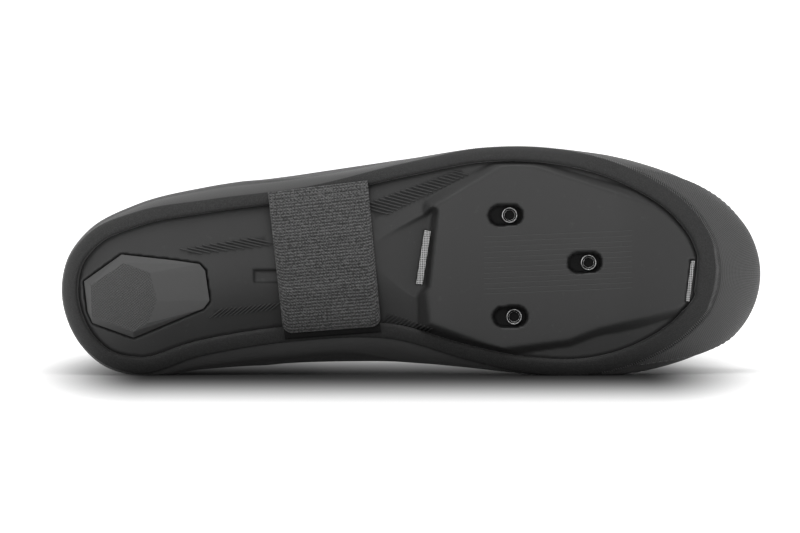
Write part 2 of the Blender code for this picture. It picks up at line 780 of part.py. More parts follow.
def make_nut(name, centre, material):
    """A threaded barrel in its slot, on a small plate let into the sole's upper side."""
    bm = bmesh.new()
    top = sole_over(centre.x) - 0.35 * MM
    floor = PLATEAU_LEVEL + NUT_DEPTH
    seat = top - NUT_FLANGE_THICK
    sides = 12
    along = Vector((math.cos(AXIS_SLOPE), -math.sin(AXIS_SLOPE), 0))
    spot = centre + along * NUT_OFFSET

    def circle(radius, level):
        ring = []
        for i in range(sides):
            turn = 2 * math.pi * i / sides
            ring.append(Vector((spot.x + radius * math.cos(turn),
                                spot.y + radius * math.sin(turn), level)))
        return ring

    bevel = 0.3 * MM
    rings = [
        circle(NUT_BORE, seat + 0.4 * MM), circle(NUT_BORE, floor + bevel),
        circle(NUT_BORE + bevel, floor), circle(NUT_RADIUS - bevel, floor),
        circle(NUT_RADIUS, floor + bevel), circle(NUT_RADIUS, seat + 0.4 * MM),
    ]
    loft(bm, rings, True, False)
    low = bm.verts[:]
    bm.faces.new([v for v in low[:sides]][::-1])
    bm.faces.new([v for v in low[-sides:]])
    barrel = finish(name, bm, material)
    plan = stadium(centre, NUT_FLANGE_LENGTH, NUT_FLANGE_WIDTH, AXIS_SLOPE)
    plate = prism(name + "_plate", plan, seat, top)
    hole = prism(name + "_hole", circle(NUT_BORE, 0.0), seat - 5 * MM, top + 5 * MM)
    boolean(barrel, plate, "UNION")
    boolean(barrel, hole, "DIFFERENCE")
    for face in barrel.data.polygons:
        face.use_smooth = False
    return barrel


def strap_level(p, lateral, medial):
    """Height of the strap's inner face: over both bands and over the sole's swell."""
    share = (p.y - lateral.y) / (medial.y - lateral.y)
    ends = rise(p.x) - SEAM_GAP - RIM_THICK - SEAM_GAP
    drop = PATCH_THICK + SEAM_GAP
    middle = sole_under(p.x) - SEAM_GAP - 0.4 * MM
    tilt = ends - drop * ease((share - 0.45) / 0.45)
    arch = 1 - (2 * share - 1) ** 2
    return tilt + (min(middle, ends) - ends) * arch


def strap_grid(name, corners, thick, material, extra=0.0, lift=0.0, rounded=True, start=0.0,
               across=10):
    """A plate over the arch between four plan corners."""
    a, b, c, d = [place(*STRAP_PLAN[key]) for key in corners]
    along = 8
    bm = bmesh.new()
    low = []
    high = []
    for i in range(along + 1):
        u = (1 - math.cos(math.pi * i / along)) / 2
        lateral = a.lerp(b, u)
        medial = d.lerp(c, u)
        run = (medial - lateral).normalized()
        reach = (medial - lateral).length + extra
        if rounded:
            near = min(u, 1 - u) * (b - a).length
            if near < STRAP_CORNER:
                reach -= STRAP_CORNER - math.sqrt(STRAP_CORNER**2 - (STRAP_CORNER - near) ** 2)
        first = []
        second = []
        for j in range(across + 1):
            share = start + (1 - start) * j / across
            spot = lateral + run * reach * share
            level = strap_level(spot, lateral, medial) + lift
            first.append(Vector((spot.x, spot.y, level)))
            second.append(Vector((spot.x, spot.y, level - thick)))
        low.append(first)
        high.append(second)
    rings = [f + s[::-1] for f, s in zip(low, high)]
    loft(bm, rings, True, True)
    return finish(name, bm, material)


def centre_of_mass(pieces):
    """Middle of the pieces' volume."""
    total = 0.0
    moment = Vector((0, 0, 0))
    for item in pieces:
        mesh = item.data
        mesh.calc_loop_triangles()
        for triangle in mesh.loop_triangles:
            a, b, c = (mesh.vertices[i].co for i in triangle.vertices)
            volume = a.dot(b.cross(c)) / 6
            total += volume
            moment += (a + b + c) / 4 * volume
    return moment / total


def lay_on_side(pieces):
    """Turn the standing shoe onto its inner side, as it comes to rest on a floor."""
    turn = Matrix.Rotation(math.radians(-90), 4, "X")
    for item in pieces:
        item.data.transform(turn)
    hull = bmesh.new()
    for item in pieces:
        for v in item.data.vertices:
            hull.verts.new(v.co)
    bmesh.ops.convex_hull(hull, input=hull.verts[:])
    bmesh.ops.recalc_face_normals(hull, faces=hull.faces[:])
    middle = centre_of_mass(pieces)
    best = None
    for face in hull.faces:
        if face.normal.z > -0.8:
            continue
        down = face.normal.normalized()
        foot = middle + down * (face.verts[0].co - middle).dot(down)
        inside = True
        for loop in face.loops:
            p = loop.vert.co
            q = loop.link_loop_next.vert.co
            if (q - p).cross(foot - p).dot(face.normal) < -1e-9:
                inside = False
        if inside:
            best = down.copy()
    hull.free()
    if best is None:
        best = Vector((0, 0, -1))
    settle = best.rotation_difference(Vector((0, 0, -1))).to_matrix().to_4x4()
    low = Vector((1e9, 1e9, 1e9))
    high = -low
    for item in pieces:
        item.data.transform(settle)
        for v in item.data.vertices:
            low = Vector(map(min, low, v.co))
            high = Vector(map(max, high, v.co))
    middle = (low + high) / 2
    shift = Matrix.Translation((-middle.x, -middle.y, -low.z - SETTLE))
    for item in pieces:
        item.data.transform(shift)
        for v in item.data.vertices:
            v.co.z = max(v.co.z, 0.0)
        item.data.update()


def build():
    clear_scene()
    skin = make_skin()
    cloth = paint("softshell", (0.055, 0.056, 0.058), 0.85)
    upper = make_upper(skin, cloth)
    cap = make_toe_cap(skin, paint("toe_fabric", (0.065, 0.066, 0.068), 0.9))
    rim = make_rim(skin, paint("band", (0.030, 0.030, 0.031), 0.7))
    plastic = paint("sole_plastic", (0.040, 0.040, 0.041), 0.55)
    sole = make_sole(skin, plastic)
    insole = make_insole(skin, paint("footbed", (0.03, 0.03, 0.03), 0.95))
    boolean(sole, make_plateau(skin), "UNION")
    pad = make_heel_pad(paint("pad_rubber", (0.075, 0.075, 0.077), 0.8))
    metal = paint("nut_metal", (0.02, 0.02, 0.02), 0.35, 1.0)
    nuts = []
    for key, share in SLOT_CENTRES.items():
        centre = place(*share)
        nuts.append(make_nut("cleat_nut_" + key, centre, metal))
        slot = prism("slot", stadium(centre, SLOT_LENGTH, SLOT_WIDTH, AXIS_SLOPE), -10 * MM, 30 * MM)
        boolean(sole, slot, "DIFFERENCE")
        plan = stadium(centre, NUT_FLANGE_LENGTH + 2 * SEAM_GAP, NUT_FLANGE_WIDTH + 2 * SEAM_GAP,
                       AXIS_SLOPE)
        seat = sole_over(centre.x) - 0.35 * MM - NUT_FLANGE_THICK - SEAM_GAP
        boolean(sole, prism("seat", plan, seat, seat + 12 * MM), "DIFFERENCE")
    pocket = prism("pocket", [place(*p) for p in HEEL_PAD], -10 * MM,
                   sole_under(0.12 * LENGTH) + 2.1 * MM)
    boolean(sole, pocket, "DIFFERENCE")
    scoop_plan = [place(*p) for p in SCOOP]

    def scoop_floor(p):
        low = sole_under(SCOOP[0][0] * LENGTH) - SEAM_GAP
        high = sole_under(SCOOP[1][0] * LENGTH) + SCOOP_DEPTH
        share = (p.x / LENGTH - SCOOP[0][0]) / (SCOOP[1][0] - SCOOP[0][0])
        return low + (high - low) * share

    boolean(sole, prism("scoop", scoop_plan, -12 * MM, scoop_floor), "DIFFERENCE")
    low, high = RECESS_BOX
    box = [place(low[0], low[1]), place(high[0], low[1]), place(high[0], high[1]),
           place(low[0], high[1])]
    boolean(sole, prism("recess", box, -10 * MM, lambda p: sole_under(p.x) + RECESS_DEPTH),
            "DIFFERENCE")
    pale = paint("vent_mesh", (0.55, 0.55, 0.56), 0.6)
    meshes = []
    for name, ends, width, forward in (
        ("mid_vent_mesh", [place(*p) for p in MID_VENT], MID_VENT_WIDTH, 0.0),
        ("front_vent_mesh", [toe_place(*p) for p in FRONT_VENT], FRONT_VENT_WIDTH,
         FRONT_VENT_RUN),
    ):
        middle = (ends[0] + ends[1]) / 2
        level = plateau_level(middle)
        plan = bar(ends, width, forward)
        boolean(sole, prism("vent", plan, -12 * MM, level + VENT_DEPTH), "DIFFERENCE")
        shrunk = bar(ends, width - 2 * SEAM_GAP)
        centre = sum(shrunk, Vector((0, 0, 0))) / 4
        shrunk = [p + (centre - p).normalized() * SEAM_GAP for p in shrunk]
        top = level + VENT_DEPTH - SEAM_GAP
        meshes.append(prism(name, shrunk, top - MESH_THICK, top))
        meshes[-1].data.materials.append(pale)
    weave = paint("strap_weave", (0.070, 0.070, 0.072), 0.95)
    order = ("heel_lateral", "toe_lateral", "toe_medial", "heel_medial")
    strap = strap_grid("arch_strap", order, STRAP_THICK, weave)
    hooks = paint("hooks", (0.008, 0.008, 0.008), 0.9)
    patch = strap_grid("hook_patch", order, PATCH_THICK, hooks, extra=PATCH_SHOWS,
                       lift=SEAM_GAP + PATCH_THICK, rounded=False, start=0.88, across=3)
    lay_on_side([upper, cap, rim, sole, insole, pad, strap, patch, *nuts, *meshes])


build()
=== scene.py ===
# %% [markdown]
# # A cycling overshoe seen from beneath
# An overshoe is a stretch cover that a rider pulls over a road shoe. It is open under
# the foot, so the shoe's own stiff sole and its bolt slots stay free. Here it lies on its
# inner side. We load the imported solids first, and build the looks in the same frame.

import math

import bmesh
import bpy
import numpy as np
from mathutils import Matrix, Vector
from mathutils.kdtree import KDTree


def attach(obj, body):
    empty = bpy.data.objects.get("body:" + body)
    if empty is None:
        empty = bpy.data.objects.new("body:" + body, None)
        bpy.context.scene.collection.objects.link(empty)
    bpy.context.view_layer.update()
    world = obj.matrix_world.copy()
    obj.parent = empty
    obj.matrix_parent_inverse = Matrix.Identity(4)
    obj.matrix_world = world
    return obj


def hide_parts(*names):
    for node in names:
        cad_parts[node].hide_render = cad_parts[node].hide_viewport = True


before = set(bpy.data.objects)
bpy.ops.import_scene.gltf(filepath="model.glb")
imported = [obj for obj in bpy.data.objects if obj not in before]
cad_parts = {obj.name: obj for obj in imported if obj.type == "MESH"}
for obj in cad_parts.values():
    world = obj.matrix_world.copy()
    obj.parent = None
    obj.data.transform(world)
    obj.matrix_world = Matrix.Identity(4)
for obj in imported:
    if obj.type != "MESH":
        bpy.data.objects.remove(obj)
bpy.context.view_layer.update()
print("nodes:", sorted(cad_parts))

# %% [markdown]
# ## Sizes
# Every piece reads a few sizes of the shoe. Places are shares of its length and of its
# width over the ball, as a last maker gives them. The standing shoe has X to the toe,
# Y to the inner side and Z up; one matrix lays it on its side.

# %% Sizes and the turn onto its side
MM = 0.001
LENGTH = 285 * MM
BALL_WIDTH = 95 * MM
INSTEP_HEIGHT = 89 * MM
COLLAR_HEIGHT = 150 * MM
HEEL_LIFT = 4 * MM
WALL = 2.2 * MM
SEAM_GAP = 0.3 * MM
RIM_THICK = 1.2 * MM
CAP_THICK = 0.9 * MM
SOLE_THICK = 3.5 * MM
SOLE_RECESS = 0.8 * MM
PLATEAU_LEVEL = 0.3 * MM
REST_SHIFT = Vector((-0.142968, -0.075688, 0.043221))
REST_LEAN = math.radians(-92.564)
REST_SWAY = math.radians(-0.1943)
LAY = (Matrix.Translation(REST_SHIFT) @ Matrix.Rotation(REST_SWAY, 4, "Y")
       @ Matrix.Rotation(REST_LEAN, 4, "X"))
COLUMNS = 288
HALF = COLUMNS // 2
THROAT_COLUMN = 56
RIM_ROWS = 9
TURN_ROWS = 18
SIDE_ROWS = 44
ROWS = RIM_ROWS + TURN_ROWS + SIDE_ROWS
FINE = COLUMNS // 72

OUTLINE_COLUMNS = ("along", "out", "tuck", "rim", "knee", "square")
OUTLINE = (
    (0.0030, -0.080, 0.020, 0.052, 0.22, 2.2),
    (0.0290, -0.318, 0.018, 0.052, 0.15, 2.2),
    (0.0630, -0.412, 0.018, 0.054, 0.11, 2.2),
    (0.1150, -0.458, 0.020, 0.062, 0.10, 2.2),
    (0.2040, -0.430, 0.060, 0.064, 0.13, 2.2),
    (0.3450, -0.407, 0.100, 0.064, 0.20, 2.2),
    (0.4750, -0.400, 0.098, 0.062, 0.19, 2.2),
    (0.5750, -0.424, 0.040, 0.058, 0.12, 2.2),
    (0.6600, -0.452, 0.014, 0.060, 0.09, 2.3),
    (0.7650, -0.466, 0.020, 0.066, 0.09, 2.3),
    (0.8500, -0.432, 0.060, 0.076, 0.11, 2.3),
    (0.9180, -0.362, 0.115, 0.082, 0.14, 2.3),
    (0.9640, -0.272, 0.160, 0.084, 0.15, 2.3),
    (0.9890, -0.150, 0.178, 0.084, 0.15, 2.3),
    (0.9960, -0.005, 0.180, 0.084, 0.15, 2.3),
    (0.9830, 0.133, 0.165, 0.084, 0.15, 2.3),
    (0.9560, 0.240, 0.130, 0.084, 0.16, 2.3),
    (0.9130, 0.340, 0.092, 0.080, 0.17, 2.3),
    (0.8260, 0.447, 0.044, 0.068, 0.17, 2.3),
    (0.7300, 0.500, 0.014, 0.056, 0.17, 2.3),
    (0.6100, 0.512, 0.010, 0.050, 0.17, 2.3),
    (0.4950, 0.464, 0.024, 0.048, 0.20, 2.2),
    (0.3500, 0.402, 0.060, 0.048, 0.24, 2.2),
    (0.2100, 0.350, 0.062, 0.050, 0.26, 2.2),
    (0.1100, 0.276, 0.040, 0.054, 0.25, 2.2),
    (0.0420, 0.168, 0.024, 0.054, 0.25, 2.2),
    (0.0120, 0.050, 0.020, 0.052, 0.25, 2.2),
)
SOLE_RISE = (
    (0.00, 1.85), (0.05, 1.15), (0.12, 1.00), (0.22, 1.35), (0.32, 2.10), (0.42, 2.45),
    (0.52, 1.95), (0.60, 1.15), (0.68, 0.75), (0.76, 0.85), (0.84, 1.50), (0.92, 2.60),
    (1.00, 3.90),
)
SOLE_SWELL = (
    (0.00, 0.50), (0.12, 0.80), (0.25, 1.10), (0.42, 1.15), (0.52, 0.80), (0.62, 0.50),
    (0.80, 0.40), (1.00, 0.30),
)
RIDGE = (
    (0.00, 0.912, 0.000, 0.500, 0.000),
    (0.14, 0.842, 0.012, 0.590, 0.000),
    (0.32, 0.725, 0.026, 0.690, 0.000),
    (0.52, 0.595, 0.020, 0.815, 0.000),
    (0.72, 0.472, 0.010, 0.985, 0.000),
    (0.87, 0.396, -0.008, 0.620, 0.375),
    (1.00, 0.356, -0.030, 0.000, 1.013),
)
COLLAR_RISE = ((0.0, 1.013), (0.35, 0.975), (0.7, 0.985), (1.0, 1.030))
COLLAR_MIDDLE = 0.190
COLLAR_SIDE = -0.048
COLLAR_HALF_LENGTH = 0.166
COLLAR_HALF_WIDTH = 0.350
ANKLE_PINCH = 3.5 * MM
WALL_LEAN = 0.11
CAP_START = 28 * FINE
CAP_END = 44 * FINE
CAP_EDGE = ((0.0, 0.5), (0.25, 4.6), (0.5, 7.4), (0.75, 4.6), (1.0, 0.5))
print("columns of the skin:", COLUMNS, "rows:", ROWS)

# %% [markdown]
# ## The skin
# A last has no flat side, so we draw it as columns that climb from the edge of the
# opening, turn round under the foot and run up to the instep or to the collar. Tables
# give the outline, the arch and the ridge; smooth curves join their rows.


# %% Smooth curves through tables
def place(along, out, height=0.0):
    return Vector((along * LENGTH, -out * BALL_WIDTH, height))


def toe_place(back, out):
    toe = max(row[0] for row in OUTLINE) * LENGTH
    return Vector((toe - back * BALL_WIDTH, -out * BALL_WIDTH, 0.0))


def ease(share):
    share = min(max(share, 0.0), 1.0)
    return share * share * (3 - 2 * share)


def smooth(rows, column, t, closed=False, knots=None):
    """Smooth value of one column of a table at knot value t."""
    keys = knots if knots else [row[0] for row in rows]
    count = len(rows)
    values = [row[column] for row in rows]
    if not closed:
        t = min(max(t, keys[0]), keys[-1])
    for i in range(count - 1 if not closed else count):
        left = keys[i]
        right = keys[i + 1]
        if t <= right:
            break
    span = right - left
    s = (t - left) / span

    def slope(j):
        if closed:
            j %= count
            before = keys[j] - keys[j - 1] if j else keys[-1] - keys[-2]
            after = keys[j + 1] - keys[j]
            low = (values[j] - values[j - 1]) / before
            high = (values[(j + 1) % count] - values[j]) / after
        elif j == 0:
            return (values[1] - values[0]) / (keys[1] - keys[0])
        elif j == count - 1:
            return (values[-1] - values[-2]) / (keys[-1] - keys[-2])
        else:
            before = keys[j] - keys[j - 1]
            after = keys[j + 1] - keys[j]
            low = (values[j] - values[j - 1]) / before
            high = (values[j + 1] - values[j]) / after
        return (low * after + high * before) / (before + after)

    s2 = s * s
    s3 = s2 * s
    blend = 3 * s2 - 2 * s3
    return (values[i % count] * (1 - blend) + values[(i + 1) % count] * blend
            + slope(i) * span * (s3 - 2 * s2 + s) + slope(i + 1) * span * (s3 - s2))


def rise(x):
    return smooth(SOLE_RISE, 1, x / LENGTH) * HEEL_LIFT


def swell(x):
    return smooth(SOLE_SWELL, 1, x / LENGTH) * HEEL_LIFT


print("the band's edge at the arch is", round(rise(0.42 * LENGTH) / MM, 1), "mm up")


# %% Stations round the outline
def outline_stations():
    count = len(OUTLINE)
    knots = [0.0]
    for i in range(count):
        a = place(*OUTLINE[i][:2])
        b = place(*OUTLINE[(i + 1) % count][:2])
        knots.append(knots[-1] + (b - a).length)
    toe = max(range(count), key=lambda i: OUTLINE[i][0])
    stations = []
    for start, end in ((0.0, knots[toe]), (knots[toe], knots[-1])):
        fine = 400
        rows = []
        for i in range(fine + 1):
            t = start + (end - start) * i / fine
            rows.append([smooth(OUTLINE, c, t, True, knots) for c in range(len(OUTLINE_COLUMNS))])
        run = [0.0]
        for a, b in zip(rows, rows[1:]):
            run.append(run[-1] + (place(*b[:2]) - place(*a[:2])).length)
        i = 0
        for step in range(HALF):
            target = run[-1] * step / HALF
            while run[i + 1] < target:
                i += 1
            share = (target - run[i]) / (run[i + 1] - run[i])
            stations.append([a + (b - a) * share for a, b in zip(rows[i], rows[i + 1])])
    return stations


stations = outline_stations()
print("stations:", len(stations))


# %% Ridge, collar and columns
def ridge_point(share):
    x = smooth(RIDGE, 1, share) * LENGTH
    y = -smooth(RIDGE, 2, share) * BALL_WIDTH
    z = smooth(RIDGE, 3, share) * INSTEP_HEIGHT + smooth(RIDGE, 4, share) * COLLAR_HEIGHT
    return Vector((x, y, z))


def ridge_slope(step):
    share = max(0.0, min(1.0, (HALF - step) / (HALF - THROAT_COLUMN)))
    fore = ridge_point(max(share - 0.02, 0.0))
    back = ridge_point(min(share + 0.02, 1.0))
    return (fore.z - back.z) / (fore.x - back.x)


def collar_point(share, side):
    turn = math.pi * share
    x = (COLLAR_MIDDLE + COLLAR_HALF_LENGTH * math.cos(turn)) * LENGTH
    y = (-COLLAR_SIDE + side * COLLAR_HALF_WIDTH * math.sin(turn)) * BALL_WIDTH
    return Vector((x, y, smooth(COLLAR_RISE, 1, share) * COLLAR_HEIGHT))


def top_point(k):
    step = min(k, COLUMNS - k)
    side = 1 if k <= HALF else -1
    if step >= THROAT_COLUMN:
        return ridge_point((HALF - step) / (HALF - THROAT_COLUMN))
    return collar_point(1 - step / THROAT_COLUMN, side)


def bezier(points, t):
    a, b, c, d = points
    s = 1 - t
    return a * s**3 + b * (3 * s * s * t) + c * (3 * s * t * t) + d * t**3


def column(k):
    """Points of one column of the skin, from the opening's edge up to its top."""
    along, out, tuck, rim, knee, square = stations[k]
    run = place(*stations[(k + 1) % COLUMNS][:2]) - place(*stations[k - 1][:2])
    outward = Vector((-run.y, run.x, 0.0)).normalized()
    widest = place(along, out)
    reach = (tuck + rim) * BALL_WIDTH
    power = 2 / square

    def turn(angle):
        spot = widest - outward * reach * (1 - math.sin(angle) ** power)
        lift = knee * BALL_WIDTH * (1 - max(math.cos(angle), 0.0) ** power)
        return spot + Vector((0, 0, rise(spot.x) + lift))

    rim_angle = math.asin((1 - tuck * BALL_WIDTH / reach) ** (1 / power))
    angles = [rim_angle * i / RIM_ROWS for i in range(RIM_ROWS)]
    angles += [rim_angle + (math.pi / 2 - rim_angle) * i / TURN_ROWS for i in range(TURN_ROWS)]
    points = [turn(angle) for angle in angles]
    low = turn(math.pi / 2)
    top = top_point(k)
    step = min(k, COLUMNS - k) / FINE
    throat = THROAT_COLUMN / FINE
    lean = ease((throat + 5 - step) / 10)
    across = Vector((top.x - low.x, top.y - low.y, 0.0))
    level = across.length
    across.normalize()
    height = top.z - low.z
    back = 0.5 if step > throat - 4 else 0.25 * (1 - abs(2 * step / throat - 1))
    upward = Vector((-back * lean, 0, 1)).normalized()
    flat = across + Vector((0, 0, across.x * ridge_slope(step * FINE)))
    arrive = (flat * (1 - lean) + upward * lean).normalized()
    pull = level * 0.62 * (1 - lean) + height * 0.42 * lean
    start = height * (0.50 * (1 - lean) + 0.34 * lean)
    inner = ease(min(k, HALF - k) / (5 * FINE)) if k < HALF else 0.0
    bulge = outward * (0.04 * height * (1 - lean) * (1 - inner) - WALL_LEAN * start * inner)
    handles = (low, low + Vector((0, 0, start)) + bulge,
               top - arrive * pull + across * ANKLE_PINCH * lean, top)
    points += [bezier(handles, i / SIDE_ROWS) for i in range(SIDE_ROWS + 1)]
    return points


# %% The whole skin with its normals
def make_skin():
    points = [column(k) for k in range(COLUMNS)]
    grid = np.array([[tuple(p) for p in line] for line in points])
    ahead = np.roll(grid, -1, axis=0)
    behind = np.roll(grid, 1, axis=0)
    upper = np.concatenate([grid[:, 1:], grid[:, -1:]], axis=1)
    lower = np.concatenate([grid[:, :1], grid[:, :-1]], axis=1)
    normals = np.cross(ahead - behind, upper - lower)
    for step in range(THROAT_COLUMN, HALF):
        both = normals[step, ROWS - 1] / np.linalg.norm(normals[step, ROWS - 1])
        other = COLUMNS - step
        both = both + normals[other, ROWS - 1] / np.linalg.norm(normals[other, ROWS - 1])
        normals[step, ROWS] = both
        normals[other, ROWS] = both
    normals[HALF, ROWS] = normals[HALF, ROWS - 1]
    normals /= np.linalg.norm(normals, axis=2, keepdims=True)
    if normals[0, RIM_ROWS + TURN_ROWS, 0] > 0:
        normals = -normals
    return grid, normals


skin, skin_normal = make_skin()
print("skin points:", skin.shape[0] * skin.shape[1])


def on_skin(k, row, depth=0.0):
    """A point of column k at a fractional row, raised by depth."""
    k0 = int(math.floor(k))
    side = k - k0
    j = min(int(row), ROWS - 1)
    share = row - j

    def mix(table):
        a = table[k0 % COLUMNS, j] * (1 - share) + table[k0 % COLUMNS, j + 1] * share
        b = table[(k0 + 1) % COLUMNS, j] * (1 - share) + table[(k0 + 1) % COLUMNS, j + 1] * share
        return a * (1 - side) + b * side

    return Vector(mix(skin)) + Vector(mix(skin_normal)).normalized() * depth


# %% [markdown]
# ## Helpers for pieces
# A finished piece sits at the origin with its place in its mesh. It rides on the one body of this
# object and holds the material that it takes its finish from.


# %% Finish a piece
def finish_piece(name, bm, material, nodes=(), smooth_faces=True, laid=False):
    if not laid:
        bmesh.ops.transform(bm, matrix=LAY, verts=bm.verts[:])
    for v in bm.verts:
        v.co.z = max(v.co.z, 0.0)
    mesh = bpy.data.meshes.new(name)
    for face in bm.faces:
        face.smooth = smooth_faces
    bm.to_mesh(mesh)
    bm.free()
    piece = bpy.data.objects.new(name, mesh)
    bpy.context.scene.collection.objects.link(piece)
    piece.data.materials.append(material)
    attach(piece, "root")
    if nodes:
        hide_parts(*nodes)
    print(name, "faces:", len(mesh.polygons))
    return piece


def sheet_grid(columns, rows, where, closed=False):
    """A grid whose points go where a function says, with its two shares kept as a UV map."""
    bm = bmesh.new()
    bmesh.ops.create_grid(bm, x_segments=columns, y_segments=rows, size=0.5)
    uv = bm.loops.layers.uv.new("cloth")
    shares = {v: (v.co.x + 0.5, v.co.y + 0.5) for v in bm.verts}
    spots = {}
    for v, (a, b) in shares.items():
        spots[v] = where(a * columns, b * rows)
        v.co = spots[v][0]
    for face in bm.faces:
        for loop in face.loops:
            loop[uv].uv = spots[loop.vert][1]
    if closed:
        bmesh.ops.remove_doubles(bm, verts=bm.verts[:], dist=1e-6)
    return bm


def face_along(bm, axis, way):
    """Turn all faces so that together they point one way along an axis."""
    bmesh.ops.recalc_face_normals(bm, faces=bm.faces[:])
    if sum(f.normal[axis] for f in bm.faces) * way < 0:
        bmesh.ops.reverse_faces(bm, faces=bm.faces[:])


def frame_between(a, b, up, size):
    """A matrix that stretches a unit shape from a to b with its top towards up."""
    run = b - a
    side = run.cross(up).normalized()
    top = side.cross(run).normalized()
    turn = Matrix((run.normalized(), side, top)).transposed().to_4x4()
    return turn @ Matrix.Diagonal((run.length * size[0], size[1], size[2], 1.0)), top


# %% [markdown]
# ## Shader maths
# Blender's materials are small programs. One class wraps a socket, so that a mask can
# be written as plain arithmetic, and each expression adds the Math nodes it needs.


# %% Expressions for sockets
class Wire:
    def __init__(self, tree, socket):
        self.tree = tree
        self.socket = socket

    def node(self, kind, settings=None, inputs=None, output=0):
        made = self.tree.nodes.new(kind)
        for key, value in (settings or {}).items():
            setattr(made, key, value)
        for key, value in (inputs or {}).items():
            if isinstance(value, Wire):
                self.tree.links.new(value.socket, made.inputs[key])
            else:
                made.inputs[key].default_value = value
        return Wire(self.tree, made.outputs[output])

    def maths(self, operation, *values):
        inputs = {i: value for i, value in enumerate(values)}
        return self.node("ShaderNodeMath", {"operation": operation}, inputs)

    def __add__(self, other):
        return self.maths("ADD", self, other)

    __radd__ = __add__

    def __sub__(self, other):
        return self.maths("SUBTRACT", self, other)

    def __rsub__(self, other):
        return self.maths("SUBTRACT", other, self)

    def __mul__(self, other):
        return self.maths("MULTIPLY", self, other)

    __rmul__ = __mul__

    def __truediv__(self, other):
        return self.maths("DIVIDE", self, other)

    def sin(self):
        return self.maths("SINE", self)

    def above(self, level, soft):
        """0 below level and 1 above it, over a soft width."""
        return self.node("ShaderNodeMapRange", {"interpolation_type": "SMOOTHSTEP"},
                         {0: self, 1: level - soft, 2: level + soft, 3: 0.0, 4: 1.0})

    def between(self, low, high, soft):
        return self.above(low, soft) * (1 - self.above(high, soft))

    def colours(self, first, second):
        """A colour that goes from first to second."""
        made = self.tree.nodes.new("ShaderNodeMix")
        made.data_type = "RGBA"
        self.tree.links.new(self.socket, made.inputs[0])
        for place_in, colour in ((6, first), (7, second)):
            if isinstance(colour, Wire):
                self.tree.links.new(colour.socket, made.inputs[place_in])
            else:
                made.inputs[place_in].default_value = (*colour, 1.0)
        return Wire(self.tree, made.outputs[2])

    def parts(self):
        made = self.tree.nodes.new("ShaderNodeSeparateXYZ")
        self.tree.links.new(self.socket, made.inputs[0])
        return [Wire(self.tree, made.outputs[i]) for i in range(3)]

    def noise(self, scale, detail=2.0, rough=0.5):
        return self.node("ShaderNodeTexNoise", {}, {
            "Vector": self, "Scale": scale, "Detail": detail, "Roughness": rough})

    def bump(self, height, strength=1.0):
        """A normal from a height in metres."""
        return self.node("ShaderNodeBump", {},
                         {"Height": height, "Strength": strength, "Distance": 1.0})


def new_material(name, metallic=0.0, coat=0.0, coat_rough=0.3, sheen=0.0, sheen_rough=0.5,
                 specular=0.5):
    """A material, its shader, its object coordinates and its cloth coordinates."""
    material = bpy.data.materials.new(name)
    material.use_nodes = True
    tree = material.node_tree
    shader = tree.nodes["Principled BSDF"]
    for key, value in (("Metallic", metallic), ("Coat Weight", coat),
                       ("Coat Roughness", coat_rough), ("Sheen Weight", sheen),
                       ("Sheen Roughness", sheen_rough), ("Specular IOR Level", specular)):
        shader.inputs[key].default_value = value
    coordinates = tree.nodes.new("ShaderNodeTexCoord")
    spot = Wire(tree, coordinates.outputs["Object"])
    cloth = Wire(tree, coordinates.outputs["UV"])
    return material, shader, spot, cloth


def plug(shader, key, wire):
    wire.tree.links.new(wire.socket, shader.inputs[key])


def dress(shader, colour, rough, height, strength):
    """Connect a colour, a roughness and the bump of a height in metres."""
    plug(shader, "Base Color", colour)
    plug(shader, "Roughness", rough)
    plug(shader, "Normal", colour.bump(height, strength))


def grey(level):
    """A neutral grey."""
    return (level, level, level)


# %% [markdown]
# ## The softshell
# The cover's cloth is a smooth knit with a matt face. A lighter panel runs round the
# foot next to the band, and a darker one covers the rest above a taped seam.

# %% Softshell material
def make_softshell():
    material, shader, spot, cloth = new_material("softshell", sheen=0.12, specular=0.3)
    panel = cloth.node("ShaderNodeAttribute", {"attribute_name": "panel"}, {}, output=2)
    cloud = spot.noise(22.0, 3.0)
    grain = spot.noise(2600.0, 2.0, 0.7)
    light = cloud.colours(grey(0.078), grey(0.098))
    dark = cloud.colours(grey(0.022), grey(0.030))
    base = panel.colours(light, dark)
    u, v, _ = cloth.parts()
    knit = (u * 5200.0).sin() * (v * 5200.0).sin()
    dress(shader, (grain * 0.35).colours(base, grey(0.05)),
          0.62 + 0.2 * grain,
          knit * 0.00003 + grain * 0.00006, 0.8)
    return material


softshell = make_softshell()

# %% [markdown]
# ## The upper
# Cloth over a foot is never quite smooth. The creases are given in the shoe's own sizes: soft
# troughs at the front of the ankle, behind it and along the instep. Each is a line on the side
# view, with a depth and a width.

# %% Creases and the panel seam
CREASE_COLUMNS = ("side", "from_along", "from_up", "to_along", "to_up", "depth", "width")
CREASES = (
    (1, 0.36, 1.16, 0.24, 0.92, 0.9, 6.0),
    (1, 0.39, 1.00, 0.28, 0.78, 0.7, 5.0),
    (-1, 0.37, 1.12, 0.25, 0.90, 0.9, 6.0),
    (-1, 0.41, 0.98, 0.30, 0.74, 0.7, 5.0),
    (1, 0.05, 1.02, 0.13, 0.90, 0.7, 6.0),
    (-1, 0.05, 1.06, 0.14, 0.94, 0.7, 6.0),
    (1, 0.52, 0.62, 0.60, 0.40, 0.5, 6.0),
    (-1, 0.55, 0.62, 0.63, 0.38, 0.5, 6.0),
    (1, 0.33, 0.30, 0.47, 0.22, 0.6, 7.0),
    (-1, 0.30, 0.34, 0.45, 0.26, 0.5, 7.0),
    (1, 0.70, 0.52, 0.74, 0.30, 0.4, 6.0),
    (-1, 0.70, 0.54, 0.75, 0.32, 0.4, 6.0),
)
